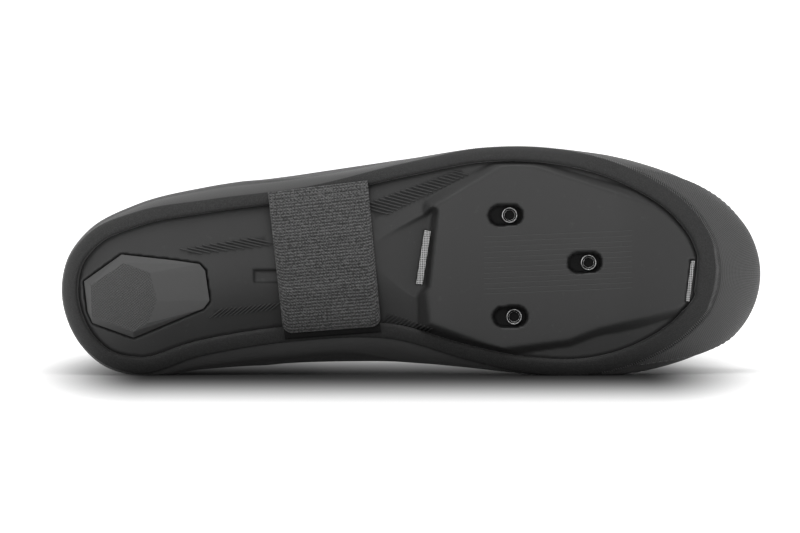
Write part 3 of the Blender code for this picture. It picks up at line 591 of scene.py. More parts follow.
PANEL_SEAM = {
    1: ((0.0, 0.10), (0.10, 0.075), (0.30, 0.066), (0.44, 0.085), (0.53, 0.22), (0.62, 0.50),
        (1.0, 0.9)),
    -1: ((0.0, 0.10), (0.10, 0.125), (0.22, 0.118), (0.38, 0.120), (0.47, 0.20), (0.56, 0.45),
         (1.0, 0.9)),
}


def crease_depth(spot):
    """How far a point of the skin sinks, by the creases near it."""
    side = 1 if spot.y > 0 else -1
    total = 0.0
    for where, a, up_a, b, up_b, depth, width in CREASES:
        if where != side:
            continue
        start = Vector((a * LENGTH, up_a * INSTEP_HEIGHT))
        run = Vector((b * LENGTH, up_b * INSTEP_HEIGHT)) - start
        here = Vector((spot.x, spot.z)) - start
        share = min(max(here.dot(run) / run.length_squared, 0.0), 1.0)
        gap = (here - run * share).length / (width * MM)
        ridge = math.exp(-gap * gap) - 0.45 * math.exp(-((gap - 1.5) ** 2) * 2.0)
        total += depth * MM * ridge * (0.55 + 0.45 * math.sin(math.pi * share))
    return total


def panel_share(k, spot):
    """0 on the lower panel and 1 above its seam, with the seam's height as the middle."""
    side = 1 if k <= HALF else -1
    seam = smooth(PANEL_SEAM[side], 1, spot.x / LENGTH) * BALL_WIDTH
    return (spot.z - rise(spot.x) - seam) / (1.2 * MM)


# %% Make the upper
def make_upper():
    arc = {}

    def where(a, b):
        k = int(round(a)) % COLUMNS
        row = int(round(b))
        spot = on_skin(k, row)
        fade = ease((row - RIM_ROWS) / 6) * ease((ROWS - row) / 5)
        if min(k, COLUMNS - k) > THROAT_COLUMN + 6:
            fade *= ease((ROWS - row) / 10)
        sink = crease_depth(spot) * fade
        seam = panel_share(k, spot)
        groove = 0.28 * MM * math.exp(-(seam * 2.2) ** 2) * ease((row - RIM_ROWS) / 3)
        hem = 0.0
        step = min(k, COLUMNS - k)
        if step <= THROAT_COLUMN and row > ROWS - 8:
            hem = 0.35 * MM * ease((row - ROWS + 8) / 1.5)
        arc[(k, row)] = min(max(seam * 0.5 + 0.5, 0.0), 1.0)
        spot = spot + Vector(skin_normal[k, row]) * (hem - sink - groove)
        return spot, (a * 2.3 * MM, b * 1.9 * MM)

    bm = sheet_grid(COLUMNS, ROWS, where)
    layer = bm.verts.layers.float.new("panel")
    tree = KDTree(COLUMNS * (ROWS + 1))
    keys = [(k, row) for k in range(COLUMNS) for row in range(ROWS + 1)]
    for index, (k, row) in enumerate(keys):
        tree.insert(skin[k, row], index)
    tree.balance()
    for v in bm.verts:
        v[layer] = arc[keys[tree.find(v.co)[1]]]
    bmesh.ops.remove_doubles(bm, verts=bm.verts[:], dist=2e-5)
    bmesh.ops.recalc_face_normals(bm, faces=bm.faces[:])
    outer = bm.faces[:]
    if sum(f.normal.z for f in outer if f.calc_center_median().z > 0.08) < 0:
        bmesh.ops.reverse_faces(bm, faces=outer)
    bmesh.ops.solidify(bm, geom=outer, thickness=WALL * 0.9)
    return finish_piece("softshell_upper", bm, softshell, ["upper"])


upper = make_upper()

# %% [markdown]
# ## The toe panel
# A harder-wearing cloth with fine rows of dots goes round the toe and under the band.
# It is laid on the same skin, a little above it, with a turned edge.


# %% Toe cloth and panel
def make_toe_cloth():
    material, shader, spot, cloth = new_material("toe_cloth", sheen=0.10, specular=0.35)
    u, v, _ = cloth.parts()
    lean = (u + v) * 4100.0
    other = (u - v) * 4100.0
    dots = (lean.sin() * other.sin()).above(0.15, 0.35)
    cloud = spot.noise(30.0, 3.0)
    fuzz = spot.noise(3200.0, 2.0, 0.7)
    base = cloud.colours(grey(0.046), grey(0.060))
    dress(shader, (dots * 0.75).colours(base, grey(0.13)),
          0.75 - 0.15 * dots,
          dots * 0.00012 + fuzz * 0.00004, 0.9)
    return material


toe_cloth = make_toe_cloth()


def cap_top(k):
    share = (k - CAP_START) / (CAP_END - CAP_START)
    rows = smooth(CAP_EDGE, 1, share)
    start = 3 + 0.12
    top = start + rows
    if top <= 8:
        return RIM_ROWS + (top - 3) * TURN_ROWS / 5
    return RIM_ROWS + TURN_ROWS + (top - 8) * SIDE_ROWS / 11


def make_toe_panel():
    start = RIM_ROWS + 0.12 * TURN_ROWS / 5

    def where(a, b):
        k = CAP_START + a
        share = b / 30
        row = start + (cap_top(k) - start) * share
        edge = min(share * 30, (1 - share) * 30, a * 0.7, (CAP_END - CAP_START - a) * 0.7)
        lift = SEAM_GAP * 0.3 + CAP_THICK * (0.55 + 0.45 * ease(edge / 1.6))
        return on_skin(k, row, lift + SEAM_GAP * 0.5), (a * 2.3 * MM, row * 1.9 * MM)

    bm = sheet_grid(CAP_END - CAP_START, 30, where)
    face_along(bm, 0, 1)
    bmesh.ops.solidify(bm, geom=bm.faces[:], thickness=CAP_THICK * 0.8)
    return finish_piece("toe_panel", bm, toe_cloth, ["toe_cap"])


toe_panel = make_toe_panel()

# %% [markdown]
# ## The band round the sole
# An elastic band finishes the opening. It has rounded edges and a fine grain, and it
# is the darkest cloth on the cover.


# %% Band
def make_band_cloth():
    material, shader, spot, cloth = new_material("band_cloth", sheen=0.05, specular=0.3)
    u, v, _ = cloth.parts()
    grain = spot.noise(1900.0, 3.0, 0.75)
    ribs = (u * 7400.0).sin() * (v * 5200.0).sin()
    cloud = spot.noise(35.0, 2.0)
    base = cloud.colours(grey(0.019), grey(0.026))
    dress(shader, (grain.above(0.55, 0.2) * 0.6).colours(base, grey(0.060)),
          0.62 + 0.25 * grain,
          grain * 0.00016 + ribs * 0.00004, 0.9)
    return material


band_cloth = make_band_cloth()
BAND_STEPS = 16


def make_band():
    def where(a, b):
        k = a % COLUMNS
        half = BAND_STEPS
        if b <= half:
            share = b / half
            row = share * (RIM_ROWS + 0.1)
            edge = min(share, 1 - share) * half
            round_off = math.sqrt(1 - (1 - min(edge / 3, 1)) ** 2)
            depth = SEAM_GAP + RIM_THICK * (0.35 + 0.65 * round_off)
        else:
            share = (b - half) / 2
            row = (1 - share) * (RIM_ROWS + 0.1)
            depth = SEAM_GAP
        return on_skin(k, row, depth), (a * 2.3 * MM, b * 0.55 * MM)

    bm = sheet_grid(COLUMNS, BAND_STEPS + 2, where, closed=True)
    bmesh.ops.remove_doubles(bm, verts=bm.verts[:], dist=2e-5)
    rims = [e for e in bm.edges if len(e.link_faces) == 1]
    if rims:
        bmesh.ops.bridge_loops(bm, edges=rims)
    bmesh.ops.recalc_face_normals(bm, faces=bm.faces[:])
    return finish_piece("sole_band", bm, band_cloth, ["rim_binding"])


band = make_band()

# %% [markdown]
# ## The sole
# The shoe's sole is moulded plastic with a raised bolt face, a scoop that leads air to
# a vent, and sunk slots. We model it as a relief: a fine grid in plan, and a height for
# every point. Points near an edge are moved onto it, so that edges stay crisp.

# %% Plan shapes of the sole
PLATEAU = (
    (0.532, 0.256), (0.648, 0.461), (0.818, 0.293), (0.875, 0.230), (0.925, 0.060),
    (0.925, -0.140), (0.832, -0.217), (0.766, -0.264), (0.725, -0.312), (0.628, -0.349),
    (0.528, -0.239), (0.522, -0.080),
)
PLATEAU_FLAT = (0.560, 0.785)
CHAMFER_SLOPE = 8.0 / 6.0
HEEL_PAD = (
    (0.036, -0.052), (0.090, 0.064), (0.166, 0.038), (0.202, 0.021), (0.210, -0.008),
    (0.216, -0.137), (0.207, -0.171), (0.166, -0.222), (0.107, -0.296), (0.048, -0.231),
    (0.041, -0.183),
)
SCOOP = ((0.425, 0.090), (0.532, 0.238), (0.5205, -0.075), (0.509, -0.122), (0.425, -0.070))
SCOOP_DEPTH = 2.8 * MM
SLOT_CENTRES = ((0.636, 0.223), (0.642, -0.210), (0.748, 0.020))
SLOT_LENGTH = 13.6 * MM
SLOT_WIDTH = 8.0 * MM
SLOT_DEPTH = 5.2 * MM
AXIS_SLOPE = math.radians(2.4)
MID_VENT = ((0.5255, 0.162), (0.5130, -0.073))
FRONT_VENT = ((0.2805, 0.030), (0.3045, -0.150))
MID_VENT_WIDTH = 3.3 * MM
FRONT_VENT_WIDTH = 2.2 * MM
VENT_DEPTH = 2.6 * MM
RECESS_BOX = ((0.2785, -0.008), (0.3250, -0.060))
RECESS_DEPTH = 1.0 * MM
PAD_SEAT = 3.2 * MM
CELL = 0.6 * MM
GROOVE = 0.35 * MM
GROOVE_DEPTH = 0.9 * MM


def plan(points):
    return np.array([tuple(place(*p))[:2] for p in points])


def bar(ends, width):
    a, b = (np.array(tuple(p)[:2]) for p in ends)
    side = np.array([-(b - a)[1], (b - a)[0]])
    side = side / np.linalg.norm(side) * width / 2
    return np.array([a + side, b + side, b - side, a - side])


# %% Distances to plan shapes
def distance(points, outline):
    """Signed distance of plan points to a closed outline, negative inside."""
    best = np.full(len(points), 1e9)
    inside = np.zeros(len(points), dtype=bool)
    count = len(outline)
    for i in range(count):
        a = outline[i]
        b = outline[(i + 1) % count]
        run = b - a
        here = points - a
        share = np.clip(here @ run / (run @ run), 0, 1)
        best = np.minimum(best, np.hypot(*(here - share[:, None] * run).T))
        crosses = (a[1] > points[:, 1]) != (b[1] > points[:, 1])
        with np.errstate(divide="ignore", invalid="ignore"):
            at = a[0] + (points[:, 1] - a[1]) / (b[1] - a[1]) * (b[0] - a[0])
        inside ^= crosses & (points[:, 0] < at)
    return np.where(inside, -best, best)


def slot_distance(points, centre):
    along = np.array([math.cos(AXIS_SLOPE), -math.sin(AXIS_SLOPE)])
    here = points - plan([centre])[0]
    run = np.clip(here @ along, -(SLOT_LENGTH - SLOT_WIDTH) / 2, (SLOT_LENGTH - SLOT_WIDTH) / 2)
    return np.hypot(*(here - run[:, None] * along).T) - SLOT_WIDTH / 2


opening = np.array([tuple(on_skin(k, 0, -WALL))[:2] for k in range(COLUMNS)])
shapes = {
    "plateau": plan(PLATEAU), "pad": plan(HEEL_PAD), "scoop": plan(SCOOP),
    "recess": plan([RECESS_BOX[0], (RECESS_BOX[1][0], RECESS_BOX[0][1]), RECESS_BOX[1],
                    (RECESS_BOX[0][0], RECESS_BOX[1][1])]),
    "mid_vent": bar([place(*p) for p in MID_VENT], MID_VENT_WIDTH),
    "front_vent": bar([toe_place(*p) for p in FRONT_VENT], FRONT_VENT_WIDTH),
}


def shape_distance(name, points):
    if name == "opening":
        return distance(points, opening)
    if name.startswith("slot"):
        return slot_distance(points, SLOT_CENTRES[int(name[-1])])
    return distance(points, shapes[name])


print("opening's length:", round((opening[:, 0].max() - opening[:, 0].min()) / MM, 1), "mm")


# %% Height of the sole's face
def soft(distances, radius=0.5 * MM):
    """0 inside a shape and the distance outside it, rounded over a radius."""
    return (distances + np.sqrt(distances**2 + radius**2)) / 2


def along_table(function, xs):
    keys = np.linspace(-0.02 * LENGTH, 1.02 * LENGTH, 400)
    return np.interp(xs, keys, [function(x) for x in keys])


def sole_level(points):
    """Height of the standing sole's underside at plan points."""
    xs = points[:, 0]
    edge = along_table(rise, xs)
    low = np.interp(xs, *side_edges(1))
    high = np.interp(xs, *side_edges(-1))
    middle = (low + high) / 2
    half = np.maximum(np.abs(low - high) / 2, 1 * MM)
    share = np.clip(1 - np.abs(points[:, 1] - middle) / half, 0, 1)
    level = edge + SOLE_RECESS - along_table(swell, xs) * np.sin(np.pi / 2 * share)
    start, end = PLATEAU_FLAT
    length_share = xs / LENGTH
    bend = np.where(length_share > end, (length_share - end) ** 2 * LENGTH * 1.9, 0.0)
    bend = np.where(length_share < start, (start - length_share) ** 2 * LENGTH * 2.0, bend)
    face = PLATEAU_LEVEL + bend + CHAMFER_SLOPE * soft(shape_distance("plateau", points))
    level = np.minimum(level, face)
    scoop_low = rise(0.425 * LENGTH) + SOLE_RECESS - swell(0.425 * LENGTH) - SEAM_GAP
    scoop_high = rise(0.532 * LENGTH) + SOLE_RECESS - swell(0.532 * LENGTH) + SCOOP_DEPTH
    floor = scoop_low + (scoop_high - scoop_low) * (length_share - 0.425) / 0.107
    level = np.maximum(level, floor - 3.0 * soft(shape_distance("scoop", points)))
    base = edge + SOLE_RECESS - along_table(swell, xs)
    for name, depth, steep in (("recess", RECESS_DEPTH, 5), ("pad", PAD_SEAT, 7)):
        gap = soft(shape_distance(name, points), 0.2 * MM)
        level = np.maximum(level, base + depth - steep * gap)
    for i in range(3):
        slot = shape_distance(f"slot{i}", points)
        level = np.maximum(level, PLATEAU_LEVEL + SLOT_DEPTH - 14 * soft(slot, 0.10 * MM))
        level = np.maximum(level, PLATEAU_LEVEL + 0.2 * MM - 0.9 * soft(slot, 0.15 * MM))
    for name in ("mid_vent", "front_vent"):
        vent = shape_distance(name, points)
        level = np.maximum(level, PLATEAU_LEVEL + bend + VENT_DEPTH - 7 * soft(vent, 0.15 * MM))
    inside = -shape_distance("opening", points) - GROOVE
    return np.maximum(level, edge + SOLE_RECESS + GROOVE_DEPTH - 4 * soft(inside, 0.3 * MM))


edge_cache = {}


def side_edges(side):
    """The opening's edge on one side as a table from x to y."""
    if side not in edge_cache:
        part = opening[: HALF + 1] if side == 1 else opening[HALF:][::-1]
        order = np.argsort(part[:, 0])
        edge_cache[side] = (part[order, 0], part[order, 1])
    return edge_cache[side]


# %% [markdown]
# ## The sole's plastic
# Fibre-filled nylon is matt, with a faint grain, slight scuffs on what stands proud and
# thin moulded lines that show where the bolts are.


# %% Sole plastic
def line_field(along, across):
    """Thin lines along the shoe inside a rectangle of the bolt face."""
    pitch = 2.1 * MM
    wave = (across * (2 * math.pi / pitch)).sin()
    lines = wave.above(0.90, 0.06)
    return lines * along.between(0.0295, 0.0895, 0.0004) * across.between(0.0306, 0.0560, 0.0004)


def make_sole_plastic():
    material, shader, spot, cloth = new_material("sole_plastic", specular=0.42, coat=0.05)
    x, y, z = spot.parts()
    across = z - x * math.tan(AXIS_SLOPE)
    lines = line_field(x, across)
    cloud = spot.noise(14.0, 4.0)
    grain = spot.noise(2400.0, 2.0, 0.6)
    scuff = spot.noise(240.0, 5.0, 0.72).above(0.66, 0.05)
    base = cloud.colours(grey(0.027), grey(0.034))
    base = (scuff * 0.25).colours(base, grey(0.085))
    base = (lines * 0.22).colours(base, grey(0.11))
    # Painted shade: the sole's shade attribute darkens the colour towards black between the grip
    # ribs, round the recess and inside the slots and vents.
    painted_shade = spot.node("ShaderNodeAttribute", {"attribute_name": "shade"}, {}, output=2)
    dress(shader, painted_shade.colours(base, grey(0.001)),
          0.46 + 0.12 * cloud + 0.1 * grain + 0.1 * scuff + 0.3 * painted_shade,
          grain * 0.00003 - lines * 0.00010, 0.7)
    return material


sole_plastic = make_sole_plastic()


# %% [markdown]
# ## Grip ribs
# Four bands of short slanted ribs give grip where the arch meets the heel and the forefoot. A band
# is a line on the sole with a width at each end, and the ground between its ribs is darkened with
# painted shade.

# %% Bands of ribs
RIB_COLUMNS = ("from_along", "from_out", "to_along", "to_out", "from_width", "to_width",
               "angle", "count")
RIB_BANDS = (
    (0.4446, 0.243, 0.5767, 0.409, 8.1, 3.6, -15, 19),
    (0.4631, -0.213, 0.5300, -0.268, 5.0, 2.2, 35, 12),
    (0.1833, 0.072, 0.2969, 0.119, 3.2, 4.6, -13, 10),
    (0.2202, -0.192, 0.3111, -0.162, 3.6, 2.8, 38, 13),
)
RIB_WIDTH = 0.62 * MM
RIB_HEIGHT = 0.42 * MM


def rib_rows():
    """Each band's ends in plan, its widths in metres, its angle and its count."""
    for a, b, c, d, wide, narrow, angle, count in RIB_BANDS:
        yield place(a, b), place(c, d), wide * MM, narrow * MM, math.radians(angle), count


def rib_distance(points):
    best = np.full(len(points), 1.0)
    for start, end, wide, narrow, angle, count in rib_rows():
        side = (end - start).normalized().cross(Vector((0, 0, 1)))
        quad = [start + side * wide / 2, end + side * narrow / 2, end - side * narrow / 2,
                start - side * wide / 2]
        best = np.minimum(best, distance(points, np.array([tuple(p)[:2] for p in quad])))
    return best


print("rib bands:", len(RIB_BANDS))


# %% Relief of the sole
def make_sole():
    nx = int(0.98 * LENGTH / CELL)
    ny = int(1.04 * BALL_WIDTH / CELL)
    bm = bmesh.new()
    bmesh.ops.create_grid(bm, x_segments=nx, y_segments=ny, size=0.5)
    layer = bm.verts.layers.float.new("shade")
    verts = bm.verts[:]
    points = np.array([(v.co.x, v.co.y) for v in verts])
    points[:, 0] = (points[:, 0] + 0.5) * LENGTH * 0.98
    points[:, 1] = points[:, 1] * BALL_WIDTH * 1.04
    for name, at in (("plateau", 0.0), ("scoop", 0.0), ("pad", 0.0), ("recess", 0.0),
                     ("mid_vent", 0.0), ("front_vent", 0.0), ("slot0", 0.0), ("slot1", 0.0),
                     ("slot2", 0.0), ("opening", -GROOVE)):
        gap = shape_distance(name, points) - at
        near = np.abs(gap) < 0.5 * CELL
        step = 0.02 * MM
        close = points[near]
        dx = shape_distance(name, close + [step, 0]) - shape_distance(name, close - [step, 0])
        dy = shape_distance(name, close + [0, step]) - shape_distance(name, close - [0, step])
        slope = np.stack([dx, dy], axis=1) / (2 * step)
        size = np.maximum(np.hypot(*slope.T), 1e-6)
        points[near] = close - slope / size[:, None] * gap[near, None]
    outside = shape_distance("opening", points)
    level = sole_level(points)
    slots = np.min([shape_distance(f"slot{i}", points) for i in range(3)], axis=0)
    vents = np.minimum(shape_distance("mid_vent", points), shape_distance("front_vent", points))
    # Painted shade: the ground between the grip ribs is darkened.
    bands = np.clip(-rib_distance(points) / MM, 0, 1) * 0.45
    # Painted shade: a dark line round the recess's edge, and near black inside the slots and
    # vents.
    outline = np.clip(1 - np.abs(shape_distance("recess", points)) / (0.6 * MM), 0, 1) * 0.7
    holes = np.clip(-np.minimum(slots, vents) / (0.5 * MM) + 0.3, 0, 1)
    shade = np.maximum(np.maximum(bands, outline), holes)
    for v, p, z, dark in zip(verts, points, level, shade):
        v.co = (p[0], p[1], z)
        v[layer] = dark
    gone = [v for v, out in zip(verts, outside) if out > 0.9 * MM]
    bmesh.ops.delete(bm, geom=gone, context="VERTS")
    face_along(bm, 2, -1)
    rim = [e for e in bm.edges if len(e.link_faces) == 1]
    walls = bmesh.ops.extrude_edge_only(bm, edges=rim)
    raised = [g for g in walls["geom"] if isinstance(g, bmesh.types.BMVert)]
    for v in raised:
        v.co.z = rise(v.co.x) + WALL + SEAM_GAP + SOLE_THICK - 0.4 * MM
    top = [g for g in walls["geom"] if isinstance(g, bmesh.types.BMEdge)]
    top = [e for e in top if len(e.link_faces) == 1]
    bmesh.ops.edgeloop_fill(bm, edges=top)
    bmesh.ops.recalc_face_normals(bm, faces=bm.faces[:])
    return finish_piece("moulded_sole", bm, sole_plastic, ["outsole"])


sole = make_sole()


def on_face(spot):
    """The point of the sole's face at a plan point."""
    return Vector((spot.x, spot.y, sole_level(np.array([[spot.x, spot.y]]))[0]))


# %% Ribs
def add_block(bm, a, b, width, height, up):
    """A small bevelled block from a to b, standing on them towards up."""
    shape, top = frame_between(a, b, up, (1.0, width, height))
    made = bmesh.ops.create_cube(bm, size=1.0)
    middle = Matrix.Translation((a + b) / 2 + top * height * 0.25)
    bmesh.ops.transform(bm, matrix=middle @ shape, verts=made["verts"])
    edges = list({e for v in made["verts"] for e in v.link_edges})
    bmesh.ops.bevel(bm, geom=edges, offset=min(width, height) * 0.3, segments=1, profile=0.5,
                    affect="EDGES", material=-1)


def make_ribs():
    bm = bmesh.new()
    for start, end, wide, narrow, angle, count in rib_rows():
        run = end - start
        along = Vector((math.cos(angle), -math.sin(angle), 0))
        crossing = abs(run.normalized().cross(along).z)
        for i in range(count):
            share = (i + 0.5) / count
            half = (wide + (narrow - wide) * share) / crossing / 2
            middle = start + run * share
            ends = [on_face(middle + along * way * half) for way in (-1, 1)]
            add_block(bm, *ends, RIB_WIDTH, RIB_HEIGHT * 2, Vector((0, 0, -1)))
    return finish_piece("grip_ribs", bm, sole_plastic, smooth_faces=False)


ribs = make_ribs()

# %% [markdown]
# ## Hard pieces that keep their solids' shape
# The heel pad and the threaded barrels are right as solids. A copy of each is merged,
# its flat faces are joined, and its edges get the small radius that moulding and
# turning leave.


# %% Copies with soft edges
def bevelled_copy(name, node, material, width, segments=2, angle=25):
    bm = bmesh.new()
    bm.from_mesh(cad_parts[node].data)
    bmesh.ops.remove_doubles(bm, verts=bm.verts[:], dist=1e-6)
    bmesh.ops.dissolve_limit(bm, angle_limit=math.radians(2), verts=bm.verts[:],
                             edges=bm.edges[:])
    bmesh.ops.recalc_face_normals(bm, faces=bm.faces[:])
    sharp = [e for e in bm.edges if len(e.link_faces) == 2
             and e.calc_face_angle(0) > math.radians(angle)]
    bmesh.ops.bevel(bm, geom=sharp, offset=width, segments=segments, profile=0.5,
                    affect="EDGES", material=-1, clamp_overlap=True)
    return finish_piece(name, bm, material, [node], smooth_faces=False, laid=True)


# %% Pad rubber
def make_pad_rubber():
    material, shader, spot, cloth = new_material("pad_rubber", specular=0.35)
    x, y, z = spot.parts()
    facing = spot.node("ShaderNodeNewGeometry", {}, {}, output=3)
    lean = facing.node("ShaderNodeVectorMath", {"operation": "DOT_PRODUCT"},
                       {0: facing, 1: tuple(LAY.to_3x3() @ Vector((0, 0, -1)))}, output=1)
    crown = lean.above(0.9992, 0.0003)
    hatch = ((x * 0.77 + z * 0.64) * 7600.0).sin() * crown
    cross = ((x * 0.64 - z * 0.77) * 7600.0).sin() * crown
    grain = spot.noise(2600.0, 2.0, 0.6)
    cloud = spot.noise(40.0, 3.0)
    base = cloud.colours(grey(0.082), grey(0.098))
    ink = hatch.above(0.2, 0.5) * crown
    dress(shader, (ink * 0.45).colours(base, grey(0.048)),
          0.62 + 0.18 * grain,
          (hatch + cross) * 0.00008 + grain * 0.00003, 0.9)
    return material


pad = bevelled_copy("heel_pad_block", "heel_pad", make_pad_rubber(), 0.6 * MM, 3, 9)


# %% Barrels
def make_black_metal():
    material, shader, spot, cloth = new_material("black_metal", metallic=1.0)
    grain = spot.noise(1400.0, 3.0)
    # Painted highlight: the barrels' convex edges are coloured a lighter grey.
    edge = cloth.node("ShaderNodeNewGeometry", {}, {}, output=7).above(0.56, 0.05)
    dress(shader, edge.colours(grey(0.020), grey(0.42)), 0.28 + 0.25 * grain, grain * 0.00002, 0.5)
    return material


black_metal = make_black_metal()
NUT_BORE = 2.2 * MM
NUT_RADIUS = 3.35 * MM
NUT_OFFSET = 1.6 * MM
for node in ("rear_lateral", "rear_medial", "front"):
    bevelled_copy("barrel_" + node, "cleat_nut_" + node, black_metal, 0.16 * MM)


def make_bright_rings():
    """Bright metal rings as painted highlights: one on each barrel's mouth, and thread turns
    inside its bore.
    """
    bm = bmesh.new()
    done = set()
    for centre in SLOT_CENTRES:
        along = Vector((math.cos(AXIS_SLOPE), -math.sin(AXIS_SLOPE), 0))
        spot = place(*centre) + along * NUT_OFFSET
        for radius, level, thick in (
            (NUT_RADIUS - 0.45 * MM, 1.18, 0.16), (NUT_BORE - 0.02 * MM, 2.0, 0.16),
            (NUT_BORE - 0.02 * MM, 2.8, 0.16), (NUT_BORE - 0.02 * MM, 3.6, 0.16),
        ):
            stand = Matrix.Translation((radius, 0, 0)) @ Matrix.Rotation(math.pi / 2, 4, "X")
            ring = bmesh.ops.create_circle(bm, segments=8, radius=thick * MM, matrix=stand)
            edges = list({e for v in ring["verts"] for e in v.link_edges})
            bmesh.ops.spin(bm, geom=ring["verts"] + edges, cent=(0, 0, 0), axis=(0, 0, 1),
                           angle=2 * math.pi, steps=32, use_merge=True)
            verts = list({v for v in bm.verts if v not in done})
            shift = Vector((spot.x, spot.y, PLATEAU_LEVEL + level * MM))
            bmesh.ops.translate(bm, vec=shift, verts=verts)
            done.update(verts)
    bmesh.ops.recalc_face_normals(bm, faces=bm.faces[:])
    material, shader, around, cloth = new_material("painted_glint_metal", metallic=1.0)
    glint_noise = around.noise(900.0, 3.0)
    # Painted highlight: the rings are bright metal, lighter in noisy patches.
    plug(shader, "Base Color", glint_noise.above(0.5, 0.15).colours(grey(0.30), grey(0.72)))
    plug(shader, "Roughness", 0.22 + 0.2 * glint_noise)
    return finish_piece("barrel_rings", bm, material)


rings = make_bright_rings()

# %% [markdown]
# ## Vent mesh
# Pale mesh closes both vents. It is a thin plate with rows of small holes, which the material
# sinks and darkens with painted shade.


# %% Mesh material on the two plates
def make_mesh_material():
    material, shader, spot, cloth = new_material("vent_mesh", specular=0.4)
    x, y, z = spot.parts()
    holes = ((x * 0.7 + z * 0.7) * 6300.0).sin() * ((x * 0.7 - z * 0.7) * 6300.0).sin()
    # Painted shade: the holes are coloured dark.
    open_part = holes.above(0.10, 0.25)
    dress(shader, open_part.colours(grey(0.55), grey(0.07)),
          0.45 + 0.3 * open_part,
          open_part * -0.00015, 0.8)
    return material


vent_material = make_mesh_material()
for node in ("mid_vent_mesh", "front_vent_mesh"):
    bevelled_copy(node.replace("_mesh", "_plate"), node, vent_material, 0.15 * MM)

# %% [markdown]
# ## The strap
# A wide loop-faced strap crosses the arch. Its outer end is sewn down on the band and
# its inner end grips a hook patch. The plate bows over the sole, and the weave is drawn
# in its own cloth coordinates.

# %% Strap shape
STRAP_THICK = 1.8 * MM
PATCH_THICK = 1.0 * MM
STRAP_CORNER = 4.0 * MM
PATCH_SHOWS = 2.4 * MM
STRAP_ENDS = ((0.2985, 0.324), (0.4400, 0.374), (0.4590, -0.248), (0.3200, -0.278))
CORNERS = [place(*p) for p in STRAP_ENDS]


def strap_level(p, lateral, medial):
    share = (p.y - lateral.y) / (medial.y - lateral.y)
    ends = rise(p.x) - SEAM_GAP - RIM_THICK - SEAM_GAP
    drop = PATCH_THICK + SEAM_GAP
    middle = rise(p.x) + SOLE_RECESS - swell(p.x) - SEAM_GAP - 0.4 * MM
    tilt = ends - drop * ease((share - 0.45) / 0.45)
    return tilt + (min(middle, ends) - ends) * (1 - (2 * share - 1) ** 2)


def strap_point(u, v, extra, lift, rounded):
    a, b, c, d = CORNERS
    lateral = a.lerp(b, u)
    medial = d.lerp(c, u)
    run = (medial - lateral).normalized()
    reach = (medial - lateral).length + extra
    if rounded:
        near = min(u, 1 - u) * (b - a).length
        if near < STRAP_CORNER:
            reach -= STRAP_CORNER - math.sqrt(STRAP_CORNER**2 - (STRAP_CORNER - near) ** 2)
    spot = lateral + run * reach * v
    return Vector((spot.x, spot.y, strap_level(spot, lateral, medial) + lift)), run


# %% Strap cloth
def make_strap_cloth():
    material, shader, spot, cloth = new_material("strap_weave", sheen=0.25, specular=0.25)
    u, v, _ = cloth.parts()
    shake = spot.noise(420.0, 3.0, 0.7)
    rows = ((v + shake * 0.0007) * (2 * math.pi / (1.35 * MM))).sin()
    loops = ((u + shake * 0.0012) * (2 * math.pi / (1.25 * MM))).sin()
    weave = rows * (0.55 + 0.45 * loops)
    fibre = spot.noise(1500.0, 3.0, 0.8)
    high = (weave * 0.22 + fibre * 1.45).above(0.76, 0.20)
    base = spot.noise(60.0, 3.0).colours(grey(0.026), grey(0.038))
    dress(shader, (high * 0.85).colours(base, grey(0.17)),
          0.8 + 0.15 * fibre,
          weave * 0.00016 + fibre * 0.00045, 1.0)
    return material


strap_cloth = make_strap_cloth()


def make_strap():
    def where(a, b):
        u = (1 - math.cos(math.pi * a / 48)) / 2
        spot, _ = strap_point(u, b / 72, 0.0, 0.0, True)
        ripple = 0.12 * MM * math.sin(b * 0.45 + 0.6 * math.sin(a * 0.3))
        near = min(b, 72 - b, min(a, 48 - a) * 1.5)
        puff = 0.35 * MM * (1 - ease(near / 3))
        stitch = 0.22 * MM * sum(math.exp(-((b - row) / 0.8) ** 2) for row in (5.5, 2.6))
        lift = -STRAP_THICK + puff + stitch + ripple * ease(near / 8)
        return spot + Vector((0, 0, lift)), (u * 41 * MM, b / 72 * 61 * MM)

    bm = sheet_grid(48, 72, where)
    face_along(bm, 2, -1)
    bmesh.ops.solidify(bm, geom=bm.faces[:], thickness=STRAP_THICK * 0.7)
    return finish_piece("loop_strap", bm, strap_cloth, ["arch_strap"])


strap = make_strap()


# %% Hook patch
def make_hook_cloth():
    material, shader, spot, cloth = new_material("hooks", specular=0.3)
    x, y, z = spot.parts()
    hooks = (x * 6000.0).sin() * (z * 6000.0).sin()
    fibre = spot.noise(2500.0, 2.0)
    dress(shader, fibre.colours(grey(0.004), grey(0.014)), 0.7 + 0.2 * fibre, hooks * 0.00012, 0.9)
    return material


hook_cloth = make_hook_cloth()


def make_patch():
    def where(a, b):
        v = 0.885 + 0.115 * b / 10
        spot, _ = strap_point(0.01 + 0.98 * a / 40, v, PATCH_SHOWS, SEAM_GAP + PATCH_THICK, False)
        near = min(b, 10 - b, a, 40 - a)
        return spot + Vector((0, 0, -PATCH_THICK + 0.25 * MM * (1 - ease(near / 1.5)))), (a, b)

    bm = sheet_grid(40, 10, where)
    face_along(bm, 2, -1)
    bmesh.ops.solidify(bm, geom=bm.faces[:], thickness=PATCH_THICK * 0.7)
    return finish_piece("hook_patch_cloth", bm, hook_cloth, ["hook_patch"])


patch = make_patch()

# %% [markdown]
# ## Footbed
# Only a look down the collar shows it: a cloth-topped foam bed with a soft edge.


